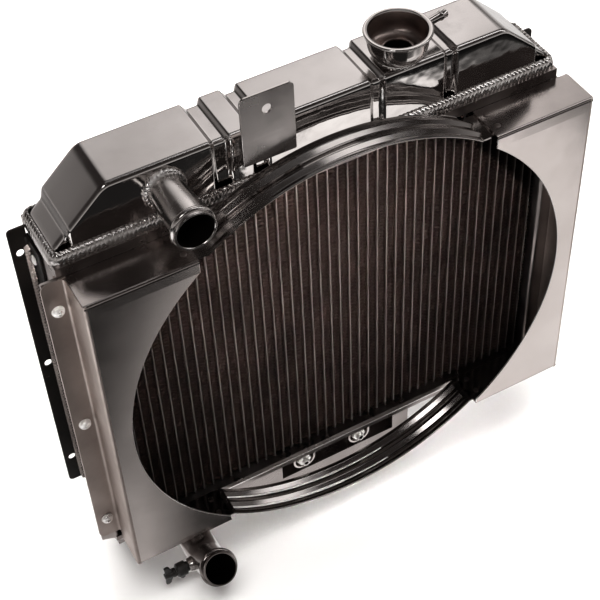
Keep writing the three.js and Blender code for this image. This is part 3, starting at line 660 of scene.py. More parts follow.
def front_plate(skin, side, end, bottom, top):
    """The shroud's flat front, with a softened edge round the fan opening. End is its outer side."""
    start = math.asin((bottom - FAN_Z) / FAN_RADIUS)
    stop = math.asin((top - FAN_Z) / FAN_RADIUS)
    reach = math.sqrt(FAN_RADIUS ** 2 - PANEL_END ** 2)
    steps, nudge = 160, 0.01
    heights = [FAN_Z + FAN_RADIUS * math.sin(start + (stop - start) * i / steps) for i in range(steps + 1)]
    heights += [FAN_Z - reach - nudge, FAN_Z - reach, FAN_Z + reach, FAN_Z + reach + nudge]
    rings = []
    for z in sorted(heights):
        x = max(PANEL_END, opening_edge(z))
        section = [(end, 0), (x + 0.9, 0), (x + 0.45, 0.1), (x, 0.7), (x, SHEET - 0.3), (x + 0.4, SHEET),
                   (end, SHEET)]
        rings.append([Vector((side * u, v, z)) for u, v in section])
    count = len(section)
    sides = (len(rings) - 1) * count
    skin.rings(rings, paint=lambda n: 1 if n < sides and 2 <= n % count <= 4 else 0)


def shroud(word, side):
    """Half of the folded shroud: front plate, outer wall, top and bottom flanges, screw flange."""
    depth = span(f"shroud_panel_{word}")[1].y
    fold, lead, bend, overlap = 3.2, 0.6, 3, 2.8
    skin = Skin()
    plate_end = SHROUD_HALF - fold - lead
    front_plate(skin, side, plate_end, fold + lead, SHROUD_HEIGHT - fold - lead)

    wall = [(plate_end, 0)] + arc((SHROUD_HALF - fold, fold), fold, 270, 360, 8)
    wall += [(SHROUD_HALF, depth - SHEET - 0.1)]
    ring = [(side * x, y) for x, y in thick_line(wall, SHEET)]
    skin.prism(ring, upright, (0.4, SHROUD_HEIGHT - 0.4), paint=2)

    for sign, rim in ((1, SHROUD_HEIGHT), (-1, 0)):
        lip = [(0, rim - sign * (fold + lead))]
        lip += [(fold - fold * math.cos(a), rim - sign * fold * (1 - math.sin(a))) for a in angles(0, 88, 8)]
        lip += [(fold, rim), (depth - 0.2, rim)]
        section = thick_line(lip, -sign * SHEET)
        # The top and bottom flanges take the darker copy, which is painted shade.
        skin.prism(section, sideways(0, side), (plate_end + overlap, PANEL_END), paint=3)

    z = (14, FLANGE_TOP[word])
    x = sorted((side * (SHROUD_HALF - SHEET), side * FLANGE_OUT))
    radii = (9, 1, 1, 9) if side < 0 else (1, 9, 9, 1)
    skin.plate(rounded_rectangle(x, z, radii), [], facing(depth - SHEET), SHEET, 0.35, paint=2)
    fillet = arc((side * (SHROUD_HALF + bend), depth - SHEET - bend), bend, 90, 180 if side > 0 else 0, 8)
    fillet += [(side * (SHROUD_HALF - 0.3), depth - SHEET + 0.3)]
    skin.prism(fillet, upright, (z[0] + 1, min(SHROUD_HEIGHT, z[1]) - 1), paint=2)
    make(f"shroud_sheet_{word}", skin, [shroud_metal, edge_metal, flange_metal, lip_shaded_metal],
         stands_for=[f"shroud_panel_{word}"])


def shroud_arc(word, end):
    """Bead-rolled band that closes the fan opening, with two feet inside the shroud's flanges."""
    low, high = span(f"shroud_arc_{word}")
    front, back = low.y, high.y
    gap = 0.3
    face = SHROUD_HEIGHT - 2 * SHEET - gap if end > 0 else 2 * SHEET + gap
    beads = (17, 33)
    bead_half, crown, bead_height = 6.4, 1.2, 2.9
    turns = 150
    rim = FAN_RADIUS + SHEET

    def swell(y):
        """The beads' height at a depth, with sharp creases."""
        away = min(abs(y - bead) for bead in beads)
        return bead_height * min(1, max(0, (bead_half - away) / (bead_half - crown)))

    def rounded(y):
        """The beads' height with its creases rounded."""
        return sum(swell(y + shift) for shift in (-0.5, -0.25, 0, 0.25, 0.5)) / 5

    creases = [bead + way * reach for bead in beads for way in (-1, 1) for reach in (bead_half, crown)]
    depths = sorted([front + 0.6, back - 0.6]
                    + [y + nudge for y in creases for nudge in (-0.5, -0.17, 0.17, 0.5)])
    outer = [(rim + rounded(y), y) for y in depths]
    inner = [(r - SHEET, y) for r, y in outer]
    front_edge = [(FAN_RADIUS + 0.3, front + 0.1), (FAN_RADIUS + 1, front), (rim - 0.3, front + 0.1)]
    back_edge = [(rim - 0.3, back - 0.1), (FAN_RADIUS + 1, back), (FAN_RADIUS + 0.3, back - 0.1)]
    profile = front_edge + outer + back_edge + inner[::-1]
    inner_from = len(front_edge + outer + back_edge)
    rings = []
    for i in range(turns + 1):
        ring = []
        for r, y in profile:
            start = math.asin((face - FAN_Z) * end / r)
            angle = start + (math.pi - 2 * start) * i / turns
            ring.append(Vector((r * math.cos(angle), y, FAN_Z + end * r * math.sin(angle))))
        rings.append(ring)

    def groove_highlight(number):
        """Painted highlight: the lower band's grooves get pale metal for their bright reflection lines, wider
        along its left part.
        """
        turn, k = divmod(number, len(profile))
        y = (profile[k][1] + profile[(k + 1) % len(profile)][1]) / 2
        width = 1.2 if turn > 78 else 0.4
        in_groove = min(abs(y - bead) for bead in beads) < width
        return 1 if end < 0 and in_groove and k >= inner_from and turn > 52 else 0

    skin = Skin()
    skin.rings(rings, paint=groove_highlight)
    foot_start = opening_edge(face)
    slope = math.atan2(foot_start, abs(face - FAN_Z))
    bend, steps = 10, 6
    left_turns = [slope * (1 - k / steps) for k in range(steps + 1)]
    foot = [(foot_start - bend * math.sin(a), bend * (1 - math.cos(a))) for a in left_turns]
    foot = [(x + bend * math.sin(slope) * 0.5, h) for x, h in foot] + [(high.x, 0)]
    for side in (-1, 1):
        section = [(side * x, face + end * h) for x, h in foot]
        skin.prism(thick_line(section, SHEET * end * side), facing(), (front + 0.3, back - 0.3))
    make(f"arc_band_{word}", skin, [arc_metal, groove_highlight_metal], stands_for=[f"shroud_arc_{word}"])


# ---------------------------------------------------------------- fasteners
def hex_nut(skin, across, height, at, axis):
    """A hexagon with chamfered corners."""
    turn = UP.rotation_difference(axis)
    corner = across / math.sqrt(3)
    sixths = [math.pi / 3 * k for k in range(6)]
    rings = []
    for h, shrink in ((0, 1), (height - corner * 0.14, 1), (height, 0.88), (height, 0.5)):
        r = corner * shrink
        rings.append([Vector(at) + turn @ Vector((r * math.cos(a), r * math.sin(a), h)) for a in sixths])
    skin.rings(rings)


def screw(name):
    """Pan-head screw on a washer, facing forward."""
    x, _, z = centre(name)
    seat = span(name)[0].y + 5.8
    shank = [(0, -9), (2.7, -9), (2.7, 0)]
    washer = [(6.4, 0), (6.6, 0.2), (6.6, 1.0), (6.4, 1.2), (6.1, 1.3)]
    head = dome(6.1, 1.9, 3.8, 9)[:-1]
    socket = [(1.6, 5.65), (1.5, 4.2), (0, 4.2)]
    profile = shank + washer + head + socket
    make_turned(f"{name}_head", profile, (x, seat, z), FRONT, 40, [zinc], name)


def bolt(name, side):
    """Domed bolt through the mounting angle's leg."""
    low, high = span(name)
    _, y, z = centre(name)
    shank = 3
    seat = (high.x - shank) if side < 0 else (low.x + shank)
    profile = [(0, -2.9), (2.7, -2.9), (2.7, 0), (5.2, 0)] + dome(BOLT_RADIUS, 0.6, 2.5, 10) + [(0, 3.1)]
    make_turned(f"{name}_head", profile, (seat, y, z), LEFT * -side, 36, [zinc], name)


def rivet(name, end):
    """Domed rivet through the arc's foot and the shroud's flange."""
    low, high = span(name)
    x, y, _ = centre(name)
    head = 1.2
    face = high.z - head if end > 0 else low.z + head
    tail = high.z - low.z - head
    profile = [(0, -tail + 0.2), (3.1, -tail + 0.2), (3.1, -tail + 1), (1.9, -tail + 1.2), (1.9, 0), (3.3, 0)]
    profile += dome(3.3, 0.1, 1.0, 10) + [(0, 1.1)]
    make_turned(f"{name}_head", profile, (x, y, face), UP * end, 28, [rivet_metal], name)


# ---------------------------------------------------------------- welds
def ripple(distance, pitch):
    """Height of overlapping weld ripples, from 0 to 1."""
    phase = (distance / pitch) % 1
    return math.sqrt(max(0, 1 - (phase * 1.1 - 0.15) ** 2 * 1.2))


def weld(name, node, rings, around=True):
    """A weld's piece from its rings. Its ripples stay smooth."""
    skin = Skin()
    skin.rings(rings, around)
    make(name, skin, [weld_metal], stands_for=[node], crease=50)


def weld_loop(name, node, x, y, z, rise, reach, seed):
    """A rippled fillet round the foot of a box-shaped tank. Rise may be negative."""
    corner, ripple_length, station_gap = 6, 4.6, 0.62
    outline = rounded_rectangle(x, y, (corner,) * 4, 14)
    lengths = [0]
    for i, point in enumerate(outline):
        lengths.append(lengths[-1] + (Vector(outline[(i + 1) % len(outline)]) - Vector(point)).length)
    total = lengths[-1]
    count = int(total / station_gap)
    pitch = total / round(total / ripple_length)
    rings = []
    k = 0
    for i in range(count):
        s = total * i / count
        while lengths[k + 1] < s:
            k += 1
        along = heading(outline[k], outline[(k + 1) % len(outline)])
        spot = Vector(outline[k]) + along * (s - lengths[k])
        outward = Vector((along.y, -along.x))
        wobble = noise.noise(Vector((s * 0.045, seed, 0)))
        ring = [(spot.x - outward.x * 1.5, spot.y - outward.y * 1.5, z - math.copysign(0.6, rise))]
        for t in angles(-6, 96, 8):
            lift = ripple(s - 1.3 * math.sin(2 * t), pitch)
            swell = 0.84 + 0.14 * lift + 0.05 * wobble
            out = reach * swell * math.cos(t)
            ring.append((spot.x + outward.x * out, spot.y + outward.y * out, z + rise * swell * math.sin(t)))
        rings.append([Vector(p) for p in ring])
    weld(name, node, rings)


def weld_ring(name, node, radius, at, axis, size, ripples, seed):
    """A rippled fillet round a pipe where it meets a wall."""
    turn = UP.rotation_difference(axis)
    pitch, per_ripple = 4.4, 9
    segments = ripples * per_ripple
    rings = []
    for i in range(segments):
        angle = 2 * math.pi * i / segments
        wobble = noise.noise(Vector((math.cos(angle) * 1.6, math.sin(angle) * 1.6, seed)))
        ring = [(radius - 1, -0.8)]
        for t in angles(-4, 94, 7):
            lift = ripple(i / per_ripple * pitch - 1.2 * math.sin(2 * t), pitch)
            swell = size * (0.78 + 0.22 * lift + 0.16 * wobble)
            ring.append((radius + swell * math.cos(t), swell * math.sin(t)))
        ring.append((radius - 1, size * 0.7))
        cos, sin = math.cos(angle), math.sin(angle)
        rings.append([Vector(at) + turn @ Vector((r * cos, r * sin, h)) for r, h in ring])
    weld(name, node, rings)


# ---------------------------------------------------------------- upper tank
def smooth(t):
    """Eases from 0 to 1."""
    t = min(1, max(0, t))
    return t * t * (3 - 2 * t)


def upper_tank():
    """Sheet tank with sloping ends and flat pads that stand proud of the grooves between them."""
    low, high = span("top_tank")
    base, top = low.z, high.z
    front, back = low.y, high.y
    half_base = (high.x - low.x) / 2
    half_top, shoulder, crease = 214, 447, 6
    edge, groove, ramp, end = 5.5, 4.5, 6, 3
    slope = (top - shoulder) / (half_base - half_top)

    def sunk(x):
        """How far the sheet lies below the pads at x."""
        level = 0
        for left, right in PADS:
            level = max(level, smooth((x - left + ramp) / ramp) * smooth((right + ramp - x) / ramp))
        return groove * (1 - level)

    def height(x):
        """Height of the pads at x, with a rounded crease where the ends start to slope."""
        away = abs(x - CENTRE_X)
        if away < half_top - crease:
            return top
        if away < half_top + crease:
            t = away - (half_top - crease)
            return top - slope * t * t / (4 * crease)
        return top - slope * (away - half_top)

    def section(x, tuck):
        """Ring round the tank at x, drawn in by a tuck at the rounded ends."""
        inset_by = sunk(x) + tuck
        near, far = front + inset_by, back - inset_by
        roof = height(x) - sunk(x) - tuck
        radius = min(edge, roof - base - 4)
        wall = [base + (roof - radius - base) * part for part in (0.12, 0.5, 0.9)]
        ring = [(near, base)] + [(near, z) for z in wall]
        ring += [(near + radius * (1 - math.cos(a)), roof - radius + radius * math.sin(a))
                 for a in angles(0, 90, 9)]
        ring += [(near + radius + (back - front - 2 * (inset_by + radius)) * part, roof)
                 for part in (0.25, 0.5, 0.75)]
        ring += [(far - radius * (1 - math.cos(a)), roof - radius + radius * math.sin(a))
                 for a in angles(90, 0, 9)]
        ring += [(far, z) for z in reversed(wall)] + [(far, base)]
        return [Vector((x, y, z)) for y, z in ring]

    stations = []
    x = low.x + end
    while x < high.x - end:
        stations.append(x)
        to_ramp = min(min(abs(x - left + ramp / 2), abs(x - right - ramp / 2)) for left, right in PADS)
        to_crease = min(abs(x - CENTRE_X - half_top), abs(x - CENTRE_X + half_top))
        x += 0.6 if to_ramp < ramp or to_crease < 9 else 3
    rings = [section(low.x + end * (1 - math.cos(a)), end * (1 - math.sin(a))) for a in angles(0, 90, 6)]
    rings += [section(x, 0) for x in stations if low.x + 3.3 < x < high.x - 3.3]
    rings += [section(high.x - end * (1 - math.cos(a)), end * (1 - math.sin(a))) for a in angles(90, 0, 6)]
    count = len(rings[0])
    wall_faces = 8
    skin = Skin()
    skin.rings(rings, paint=lambda n: 1 if n % count < wall_faces or n % count >= count - wall_faces else 0)
    tank = make("upper_tank_shell", skin, [tank_metal, mirror_metal],
                stands_for=["top_tank"])

    inlet_x, _, inlet_z = centre("inlet_pipe")
    neck_x, neck_y, _ = centre("filler_neck")
    bore = Skin()
    bore.turned(rod(15.4, -3, 30), (inlet_x, front, inlet_z), -FRONT)
    throat = Skin()
    throat.turned(rod(13.4, -34, 6), (neck_x, neck_y, top), UP)
    cut(tank, [bore, throat])


def tank_welds():
    """The long weld beads along the feet of both tanks."""
    low, high = span("top_tank")
    foot = span("top_weld_bead")[0].z
    weld_loop("upper_weld_ripples", "top_weld_bead", (low.x, high.x), (low.y, high.y), foot,
              11.5, 6.6, seed=3)
    low, high = span("bottom_tank")
    bead_low, bead_high = span("bottom_weld_bead")
    weld_loop("lower_weld_ripples", "bottom_weld_bead", (low.x, high.x), (bead_low.y + 4, bead_high.y - 4),
              bead_high.z, -7.5, 4, seed=8)


# ---------------------------------------------------------------- pipes and filler neck
def hose_bead(radius, crest, at, half):
    """Profile of the bead that holds a hose on."""
    return [(radius + (crest - radius) * math.cos(a) ** 1.4, at + half * math.sin(a))
            for a in angles(-80, 80, 10)]


def inlet():
    """Upper hose pipe, which widens towards its bead and lip."""
    low, high = span("inlet_pipe")
    x, _, z = centre("inlet_pipe")
    length = high.y - low.y
    root, tip, crest = 17.5, 20.5, 23
    bore = tip - PIPE_WALL
    outside = [(root, 0)]
    outside += [(root + (tip - root) * smooth(k / 8), 4 + (length - 18) * k / 8) for k in range(9)]
    bead = hose_bead(tip, crest, length - 7.5, 3.4)
    lip = [(tip + 0.2, length - 3.2), (tip + 0.5, length - 2), (tip + 0.5, length - 0.8),
           (tip + 0.1, length - 0.1), (tip - 0.6, length), (bore + 0.4, length - 0.1), (bore, length - 0.7)]
    inside = [(bore, length - 12), (root - PIPE_WALL, 6), (root - PIPE_WALL, 0)]
    # The bore's faces, from the lip inwards, get painted shade.
    dark_from = len(outside + bead + lip) - 1
    make_turned("inlet_spigot", outside + bead + lip + inside, (x, high.y, z), FRONT, 96,
                [pipe_metal, bore_shade_metal], "inlet_pipe",
                paint=lambda k: 1 if k >= dark_from else 0)
    weld_ring("inlet_weld_ripples", "inlet_weld", root + 0.4, (x, high.y, z), FRONT, 5, 24, 1)


def outlet():
    """Lower hose pipe, which bends upwards before its bead and lip."""
    wall_y = span("outlet_pipe")[1].y
    x = centre("outlet_pipe")[0]
    root_z = centre("outlet_weld")[2]
    radius, crest = 19.5, 22.5
    bore = radius - PIPE_WALL
    bend_y, bend_radius, tilt, nose = 26, 46, math.radians(36), 38
    segments, bend_steps = 96, 18
    stations = [(wall_y, root_z, 0.0), (bend_y + 2, root_z, 0.0)]
    for i in range(bend_steps + 1):
        a = tilt * i / bend_steps
        stations.append((bend_y - bend_radius * math.sin(a), root_z + bend_radius * (1 - math.cos(a)), a))
    bend_end = stations[-1]

    def ring(station, r):
        """Circle round the pipe's middle, square to its direction."""
        y, z, lean = station
        points = []
        for k in range(segments):
            t = 2 * math.pi * k / segments
            lift = r * math.sin(t)
            points.append(Vector((x + r * math.cos(t), y + lift * math.sin(lean), z + lift * math.cos(lean))))
        return points

    def ahead(distance):
        """Station straight on from the bend's end."""
        y, z, lean = bend_end
        return y - distance * math.cos(tilt), z + distance * math.sin(tilt), lean

    rings = [ring(station, radius) for station in stations] + [ring(ahead(nose - 13), radius)]
    lip = [(radius, nose - 4), (radius + 0.2, nose - 2.4), (radius + 0.2, nose - 0.8),
           (radius - 0.2, nose - 0.1), (radius - 0.8, nose), (bore + 0.2, nose - 0.2), (bore, nose - 0.8)]
    rings += [ring(ahead(place), r) for r, place in hose_bead(radius, crest, nose - 8.5, 3) + lip]
    # The bore's rings, from the lip inwards, get painted shade.
    dark_from = len(rings) - 1
    rings += [ring(ahead(4), bore)] + [ring(station, bore) for station in reversed(stations)]
    skin = Skin()
    skin.rings(rings, around=True, paint=lambda n: 1 if dark_from <= n // segments < len(rings) - 1 else 0)
    make("outlet_spigot", skin, [outlet_metal, bore_shade_metal], stands_for=["outlet_pipe"])
    weld_ring("outlet_weld_ripples", "outlet_weld", radius, (x, wall_y, root_z), FRONT, 4.2, 26, 5)


def filler():
    """Spun goblet neck with a rolled lip, a deep cup and an inner seat for the cap."""
    x, y, _ = centre("filler_neck")
    foot = span("top_tank")[1].z + 0.3
    h = span("filler_neck")[1].z - foot
    base, cup, rim, bore = 18, NECK_CUP, 34, 13.5
    outside = [(base, -5), (base, 1.5)]
    outside += [(base + (cup - base) * math.sin(a), 1.5 + h * 0.55 * (1 - math.cos(a)))
                for a in angles(0, 90, 12)[1:]]
    outside += [(cup + 0.2, h - 5), (cup + 1.2, h - 4), (rim - 1.4, h - 3.5)]
    roll = [(rim - 1.5 + 1.5 * math.cos(a), h - 1.7 + 1.7 * math.sin(a)) for a in angles(-75, 90, 11)]
    mouth = [(cup + 0.9, h), (cup - 0.6, h - 0.6)]
    inside = [(cup - 1.3, h - 2), (cup - 1.6, h * 0.55), (cup - 2.2, h * 0.42), (cup - 3.6, h * 0.33),
              (cup - 6, h * 0.27)]
    seat = [(bore + 6, h * 0.24), (bore + 4.8, h * 0.25), (bore + 3.8, h * 0.29), (bore + 2.2, h * 0.30),
            (bore + 0.6, h * 0.29), (bore, h * 0.25), (bore, -5)]
    profile = outside + roll + mouth + inside + seat
    rough_from = len(outside + roll + mouth)
    # The throat's bore gets painted shade.
    dark_from = len(profile) - 2
    make_turned("filler_goblet", profile, (x, y, foot), UP, 128, [neck_metal, bore_shade_metal, seat_metal],
                "filler_neck",
                paint=lambda k: 1 if k >= dark_from else 2 if k >= rough_from else 0)
    weld_ring("filler_weld_ripples", "filler_weld", base, (x, y, foot - 0.4), UP, 4.4, 22, 9)


def overflow():
    """Overflow tube out of the neck's side, with a bead near its end."""
    x, y, _ = centre("filler_neck")
    z = centre("overflow_nipple")[2]
    turn = math.radians(-9)
    axis = Vector((math.cos(turn), -math.sin(turn), 0))
    r, bore, length = 4.4, 2.9, 30
    flare = [(bore, 0), (r + 2.4, 0), (r + 1.2, 1), (r + 0.3, 2.4), (r, 4)]
    bead = [(r, length - 9.5), (r + 0.5, length - 8.4), (r + 0.9, length - 7), (r + 0.5, length - 5.6),
            (r, length - 4.5)]
    tip = [(r, length - 0.5), (r - 0.5, length), (bore + 0.3, length), (bore, length - 0.4)]
    profile = flare + bead + tip
    root = Vector((x, y, z)) + axis * (NECK_CUP + 0.4)
    # The tube's inner face at its tip gets painted shade.
    make_turned("overflow_tube", profile, root, axis, 40, [neck_metal, bore_shade_metal],
                "overflow_nipple", paint=lambda k: 1 if k == len(profile) - 1 else 0)


def bracket():
    """Bent plate with a hole, welded to the upper tank's front by its two returns."""
    low, high = span("tank_bracket")
    sheet = 2.5
    top = span("top_tank")[1].z
    skin = Skin()
    outline = rounded_rectangle((low.x, high.x), (low.z, high.z), (1.5, 1.5, 6, 6))
    skin.plate(outline, [round_hole(-69, 535, 5)], facing(low.y), sheet, 0.45)
    leg = [(low.y + 1, low.z), (high.y, low.z), (high.y, top - 10), (high.y - 6, top - 3),
           (high.y - 12, top + 3), (low.y + 1, top + 14)]
    for x, way in ((low.x, 1), (high.x, -1)):
        skin.plate(leg, [], sideways(x, way), sheet)
    make("bracket_plate", skin, [bracket_metal], stands_for=["tank_bracket"])
    for hand, x, way in (("left", low.x, -1), ("right", high.x, 1)):
        bracket_weld(hand, x, way, high.y, low.z, top)


def bracket_weld(hand, x, way, back, bottom, top):
    """A rippled bead up the outside of one of the bracket's returns, thin at both ends."""
    count, segments = 66, 12
    rings = []
    for i in range(count):
        z = bottom + 1 + (top - 12 - bottom) * i / (count - 1)
        taper = min(1, i / 5, (count - 1 - i) / 5) ** 0.5 if 0 < i < count - 1 else 0.12
        ring = []
        for k in range(segments):
            a = 2 * math.pi * k / segments
            swell = (1.9 + 0.7 * ripple(z - 1.4 * math.cos(a), 4.2)) * taper
            ring.append(Vector((x + way * (1.6 + swell * math.cos(a)), back - 1.4 + swell * math.sin(a), z)))
        rings.append(ring)
    weld(f"bracket_weld_ripples_{hand}", f"bracket_weld_{hand}", rings, around=False)


# ---------------------------------------------------------------- cooler ports and drain
def cooler_port(number):
    """Turned boss on the oil cooler, with a hexagon union and its spout."""
    x, _, z = centre(f"cooler_bung_{number}")
    boss = [(6.3, 0), (11.2, 0), (11.5, 0.3), (11.5, 2.6), (11.1, 3.1), (10.2, 4), (10, 5), (10, 13.2),
            (9.4, 14), (6.9, 14), (6.3, 13.4)]
    back = span(f"cooler_bung_{number}")[1].y
    make_turned(f"cooler_boss_{number}", boss, (x, back, z), FRONT, 56, [cooler_metal],
                f"cooler_bung_{number}")

    seat = (x, span(f"cooler_fitting_{number}")[0].y + 11, z)
    spout = [(4.9, 6), (4.9, 7), (4.6, 7.4), (4.6, 10.4), (4.2, 11), (3.0, 11), (2.6, 10.6), (2.6, 5),
             (4.9, 5)]
    # The spout's inner faces get painted shade.
    dark_from = 6
    skin = Skin()
    hex_nut(skin, 16, 6, seat, FRONT)
    skin.turned(rod(5.8, -12, 0), seat, FRONT, 32)
    skin.turned(spout, seat, FRONT, 40, paint=lambda k: 1 if k >= dark_from else 0)
    make(f"cooler_union_{number}", skin, [zinc, bore_shade_metal],
         stands_for=[f"cooler_fitting_{number}"])


def cooler_saddle(number):
    """U-shaped plate round the lower half of a cooler port."""
    x, _, z = centre(f"cooler_bung_{number}")
    lift, inner, outer, arm, thick = 1.5, 11.9, 14.6, 8, 7
    z += lift
    outline = arc((x, z), outer, 180, 360, 24) + [(x + outer, z + arm), (x + inner, z + arm)]
    outline += arc((x, z), inner, 360, 180, 24) + [(x - inner, z + arm), (x - outer, z + arm)]
    face = span(f"cooler_bung_{number}")[0].y - 5
    skin = Skin()
    skin.prism(outline, facing(), (face, face + thick))
    soften(make(f"cooler_saddle_{number}", skin, [cooler_metal]), 0.5)


def drain_cock():
    """Boss on the lower tank and the moulded body of the cock, with its spout pointing down."""
    _, y, z = centre("drain_plug")
    boss_x = span("drain_bung")[0].x + 5
    boss = [(0, -6), (9.5, -6), (9, -1), (8.2, 3.8), (7.4, 5), (0, 5)]
    make_turned("drain_boss", boss, (boss_x, y, z), LEFT, 48, [pipe_metal], "drain_bung")

    body_x = span("drain_body")[1].x
    profile = [(3.6, 5), (3.6, 14.6), (4, 15), (6.2, 15), (6.8, 14.6), (8.3, 13.2), (8.5, 12.7), (8.5, 3.4),
               (8.1, 2.9), (6.2, 2.6), (6, 2.2), (6, 0), (2.2, 0), (2.2, 5)]
    spout = [(2, 7.6), (3.4, 7.6), (3.4, 14.2), (3.1, 14.8), (2, 14.8)]
    body = Skin()
    body.turned(profile, (body_x, y, z), LEFT, 48)
    body.turned(spout, (body_x - 8, y, z), -UP, 28)
    make("drain_cock_body", body, [moulded], stands_for=["drain_body"])


def drain_key():
    """The cock's wing key: a turned hub and a flat wing with bulging faces."""
    low, high = span("drain_key")
    _, y, z = centre("drain_plug")
    hub = [(3.7, 0), (5.2, 0), (5.4, 0.3), (5.4, 3.6), (4.6, 4), (4.6, 8.6), (4.2, 9.4), (3.5, 13.4), (3, 14),
           (0, 14), (0, 5), (3.7, 5)]
    skin = Skin()
    skin.turned(hub, (high.x, y, z), LEFT, 40)
    hub_length, depth = 14, high.x - low.x
    tall = (high.z - low.z) / 2
    outline = arc((-10.4, tall - 4), 4, 0, 140, 8) + [(-13, 6), (-13, -6)]
    outline += arc((-10.4, -tall + 4), 4, 220, 360, 8) + [(-3.3, -4.9), (-3.3, 4.9)]
    outline = [(max(-depth, min(-1, u * depth / hub_length)), v) for u, v in outline]
    wing = []
    for across, shrink in ((-1.6, 0.6), (-1.35, 0.3), (0, 0), (1.35, 0.3), (1.6, 0.6)):
        wing.append([Vector((high.x + u, y + across, z + v)) for u, v in inset(outline, shrink)])
    skin.rings(wing)
    make("drain_wing_key", skin, [moulded], body="drain_cock", stands_for=["drain_key"])


# ---------------------------------------------------------------- build
core_tubes()
core_fins()
for word, side in SIDES:
    side_plate(word, side)
    fin_strip(word, side)
    mount_angle(word, side)
    shroud(word, side)
    for number in (1, 2, 3):
        screw(f"shroud_screw_{word}_{number}")
        bolt(f"mount_bolt_{word}_{number}", side)
for word, end in ENDS:
    shroud_arc(word, end)
    for hand, _ in SIDES:
        for number in (1, 2):
            rivet(f"arc_rivet_{word}_{hand}_{number}", end)
upper_tank()
dress("top_header", header_metal, 0.8)
dress("bottom_header", header_metal, 0.8)
tank_welds()
inlet()
outlet()
filler()
overflow()
bracket()
dress("bottom_tank", sump_metal, 1.2, segments=3)
dress("oil_cooler", cooler_metal, 0.3)
dress("drain_plug", zinc, 0.3)
for number in (1, 2):
    cooler_port(number)
    cooler_saddle(number)
drain_cock()
drain_key()


# ---------------------------------------------------------------- studio
def floor():
    """A pale floor just under the feet."""
    paint = Paint("floor_pale", 0, (0.93, 0.92, 0.91), 0.6)
    tone = paint.mix(paint.range(paint.noise(3, 2), 0, 1), (0.94, 0.93, 0.925), (0.91, 0.9, 0.895))
    paint.drive("Base Color", tone)
    bpy.ops.mesh.primitive_plane_add(size=14, location=(0, 0, cad_low.z - 0.0005))
    plane = bpy.context.object
    plane.name = "studio_floor"
    plane.data.materials.append(paint.material)


def graded(tree, source, stops):
    """Brightness along one direction, from stops of (metres, brightness)."""
    first, last = stops[0][0], stops[-1][0]
    spread = add(tree, "ShaderNodeMapRange", {"Value": source, "From Min": first, "From Max": last})
    ramp = add(tree, "ShaderNodeValToRGB", {"Fac": spread.outputs["Result"]})
    elements = ramp.color_ramp.elements
    while len(elements) < len(stops):
        elements.new(0.5)
    for element, (place, level) in zip(elements, stops):
        element.position = (place - first) / (last - first)
        element.color = (level, level, level, 1)
    return ramp.outputs["Color"]


def weighed(tree, split, across, along):
    """Sum of X and Y, each times its weight."""
    x, y = split.outputs["X"], split.outputs["Y"]
    first = add(tree, "ShaderNodeMath", {0: x, 1: across}, operation="MULTIPLY").outputs["Value"]
    return add(tree, "ShaderNodeMath", {0: y, 1: along, 2: first}, operation="MULTIPLY_ADD").outputs["Value"]


def product(tree, first, second):
    """Two colours multiplied. The second may be another node's output."""
    return add(tree, "ShaderNodeVectorMath", {0: first, 1: second}, operation="MULTIPLY").outputs["Vector"]


def glowing(name, strength, grades):
    """Material of a card: a glow, dimmed along each of the graded directions."""
    warm_white = (1, 0.978, 0.965)
    material = bpy.data.materials.new(name)
    material.use_nodes = True
    tree = material.node_tree
    tree.nodes.clear()
    where = tree.nodes.new("ShaderNodeTexCoord")
    split = add(tree, "ShaderNodeSeparateXYZ", {"Vector": where.outputs["Object"]})
    glow = add(tree, "ShaderNodeEmission", {"Strength": strength})
    tint = None
    for (across, along), stops in grades:
        level = graded(tree, weighed(tree, split, across, along), stops)
        tint = product(tree, tint, level) if tint else level
    if tint:
        tree.links.new(product(tree, tint, warm_white), glow.inputs["Color"])
    add(tree, "ShaderNodeOutputMaterial", {"Surface": glow.outputs["Emission"]})
    return material


def card(name, at, aim, size, strength, grades=()):
    """A glowing sheet that only reflections see. Grades name a direction, (x, y) weights, and its stops."""
    x, y = size[0] / 2, size[1] / 2
    mesh = bpy.data.meshes.new(name)
    mesh.from_pydata([(-x, -y, 0), (x, -y, 0), (x, y, 0), (-x, y, 0)], [], [(0, 1, 2, 3)])
    mesh.materials.append(glowing(name, strength, grades))
    item = bpy.data.objects.new(name, mesh)
    item.location = at
    if aim:
        item.rotation_euler = (Vector(at) - Vector(aim)).to_track_quat("-Z", "Y").to_euler()
    bpy.context.scene.collection.objects.link(item)
    item.visible_camera = False
    item.visible_diffuse = False
    item.visible_shadow = False
    item.visible_transmission = False
    item.visible_volume_scatter = False


def softbox(name, at, aim, size, power, spread=180):
    """A lamp for painted surfaces and the floor. Reflections see the cards instead."""
    lamp = bpy.data.lights.new(name, "AREA")
    lamp.shape = "RECTANGLE"
    lamp.size, lamp.size_y = size
    lamp.energy = power
    lamp.color = (1, 0.985, 0.97)
    lamp.spread = math.radians(spread)
    item = bpy.data.objects.new(name, lamp)
    item.location = at
    item.rotation_euler = (Vector(aim) - Vector(at)).to_track_quat("-Z", "Y").to_euler()
    item.visible_glossy = False
    bpy.context.scene.collection.objects.link(item)


def world():
    """Dim surroundings, paler towards the horizon."""
    sky = bpy.data.worlds.new("studio_world")
    sky.use_nodes = True
    tree = sky.node_tree
    back = tree.nodes["Background"]
    where = tree.nodes.new("ShaderNodeTexCoord")
    split = add(tree, "ShaderNodeSeparateXYZ", {"Vector": where.outputs["Generated"]})
    ramp = add(tree, "ShaderNodeValToRGB", {"Fac": split.outputs["Z"]})
    horizon, above = ramp.color_ramp.elements
    horizon.position, horizon.color = 0.0, (0.6, 0.585, 0.575, 1)
    above.position, above.color = 0.45, (0.06, 0.054, 0.052, 1)
    tree.links.new(ramp.outputs["Color"], back.inputs["Color"])
    back.inputs["Strength"].default_value = 1
    bpy.context.scene.world = sky


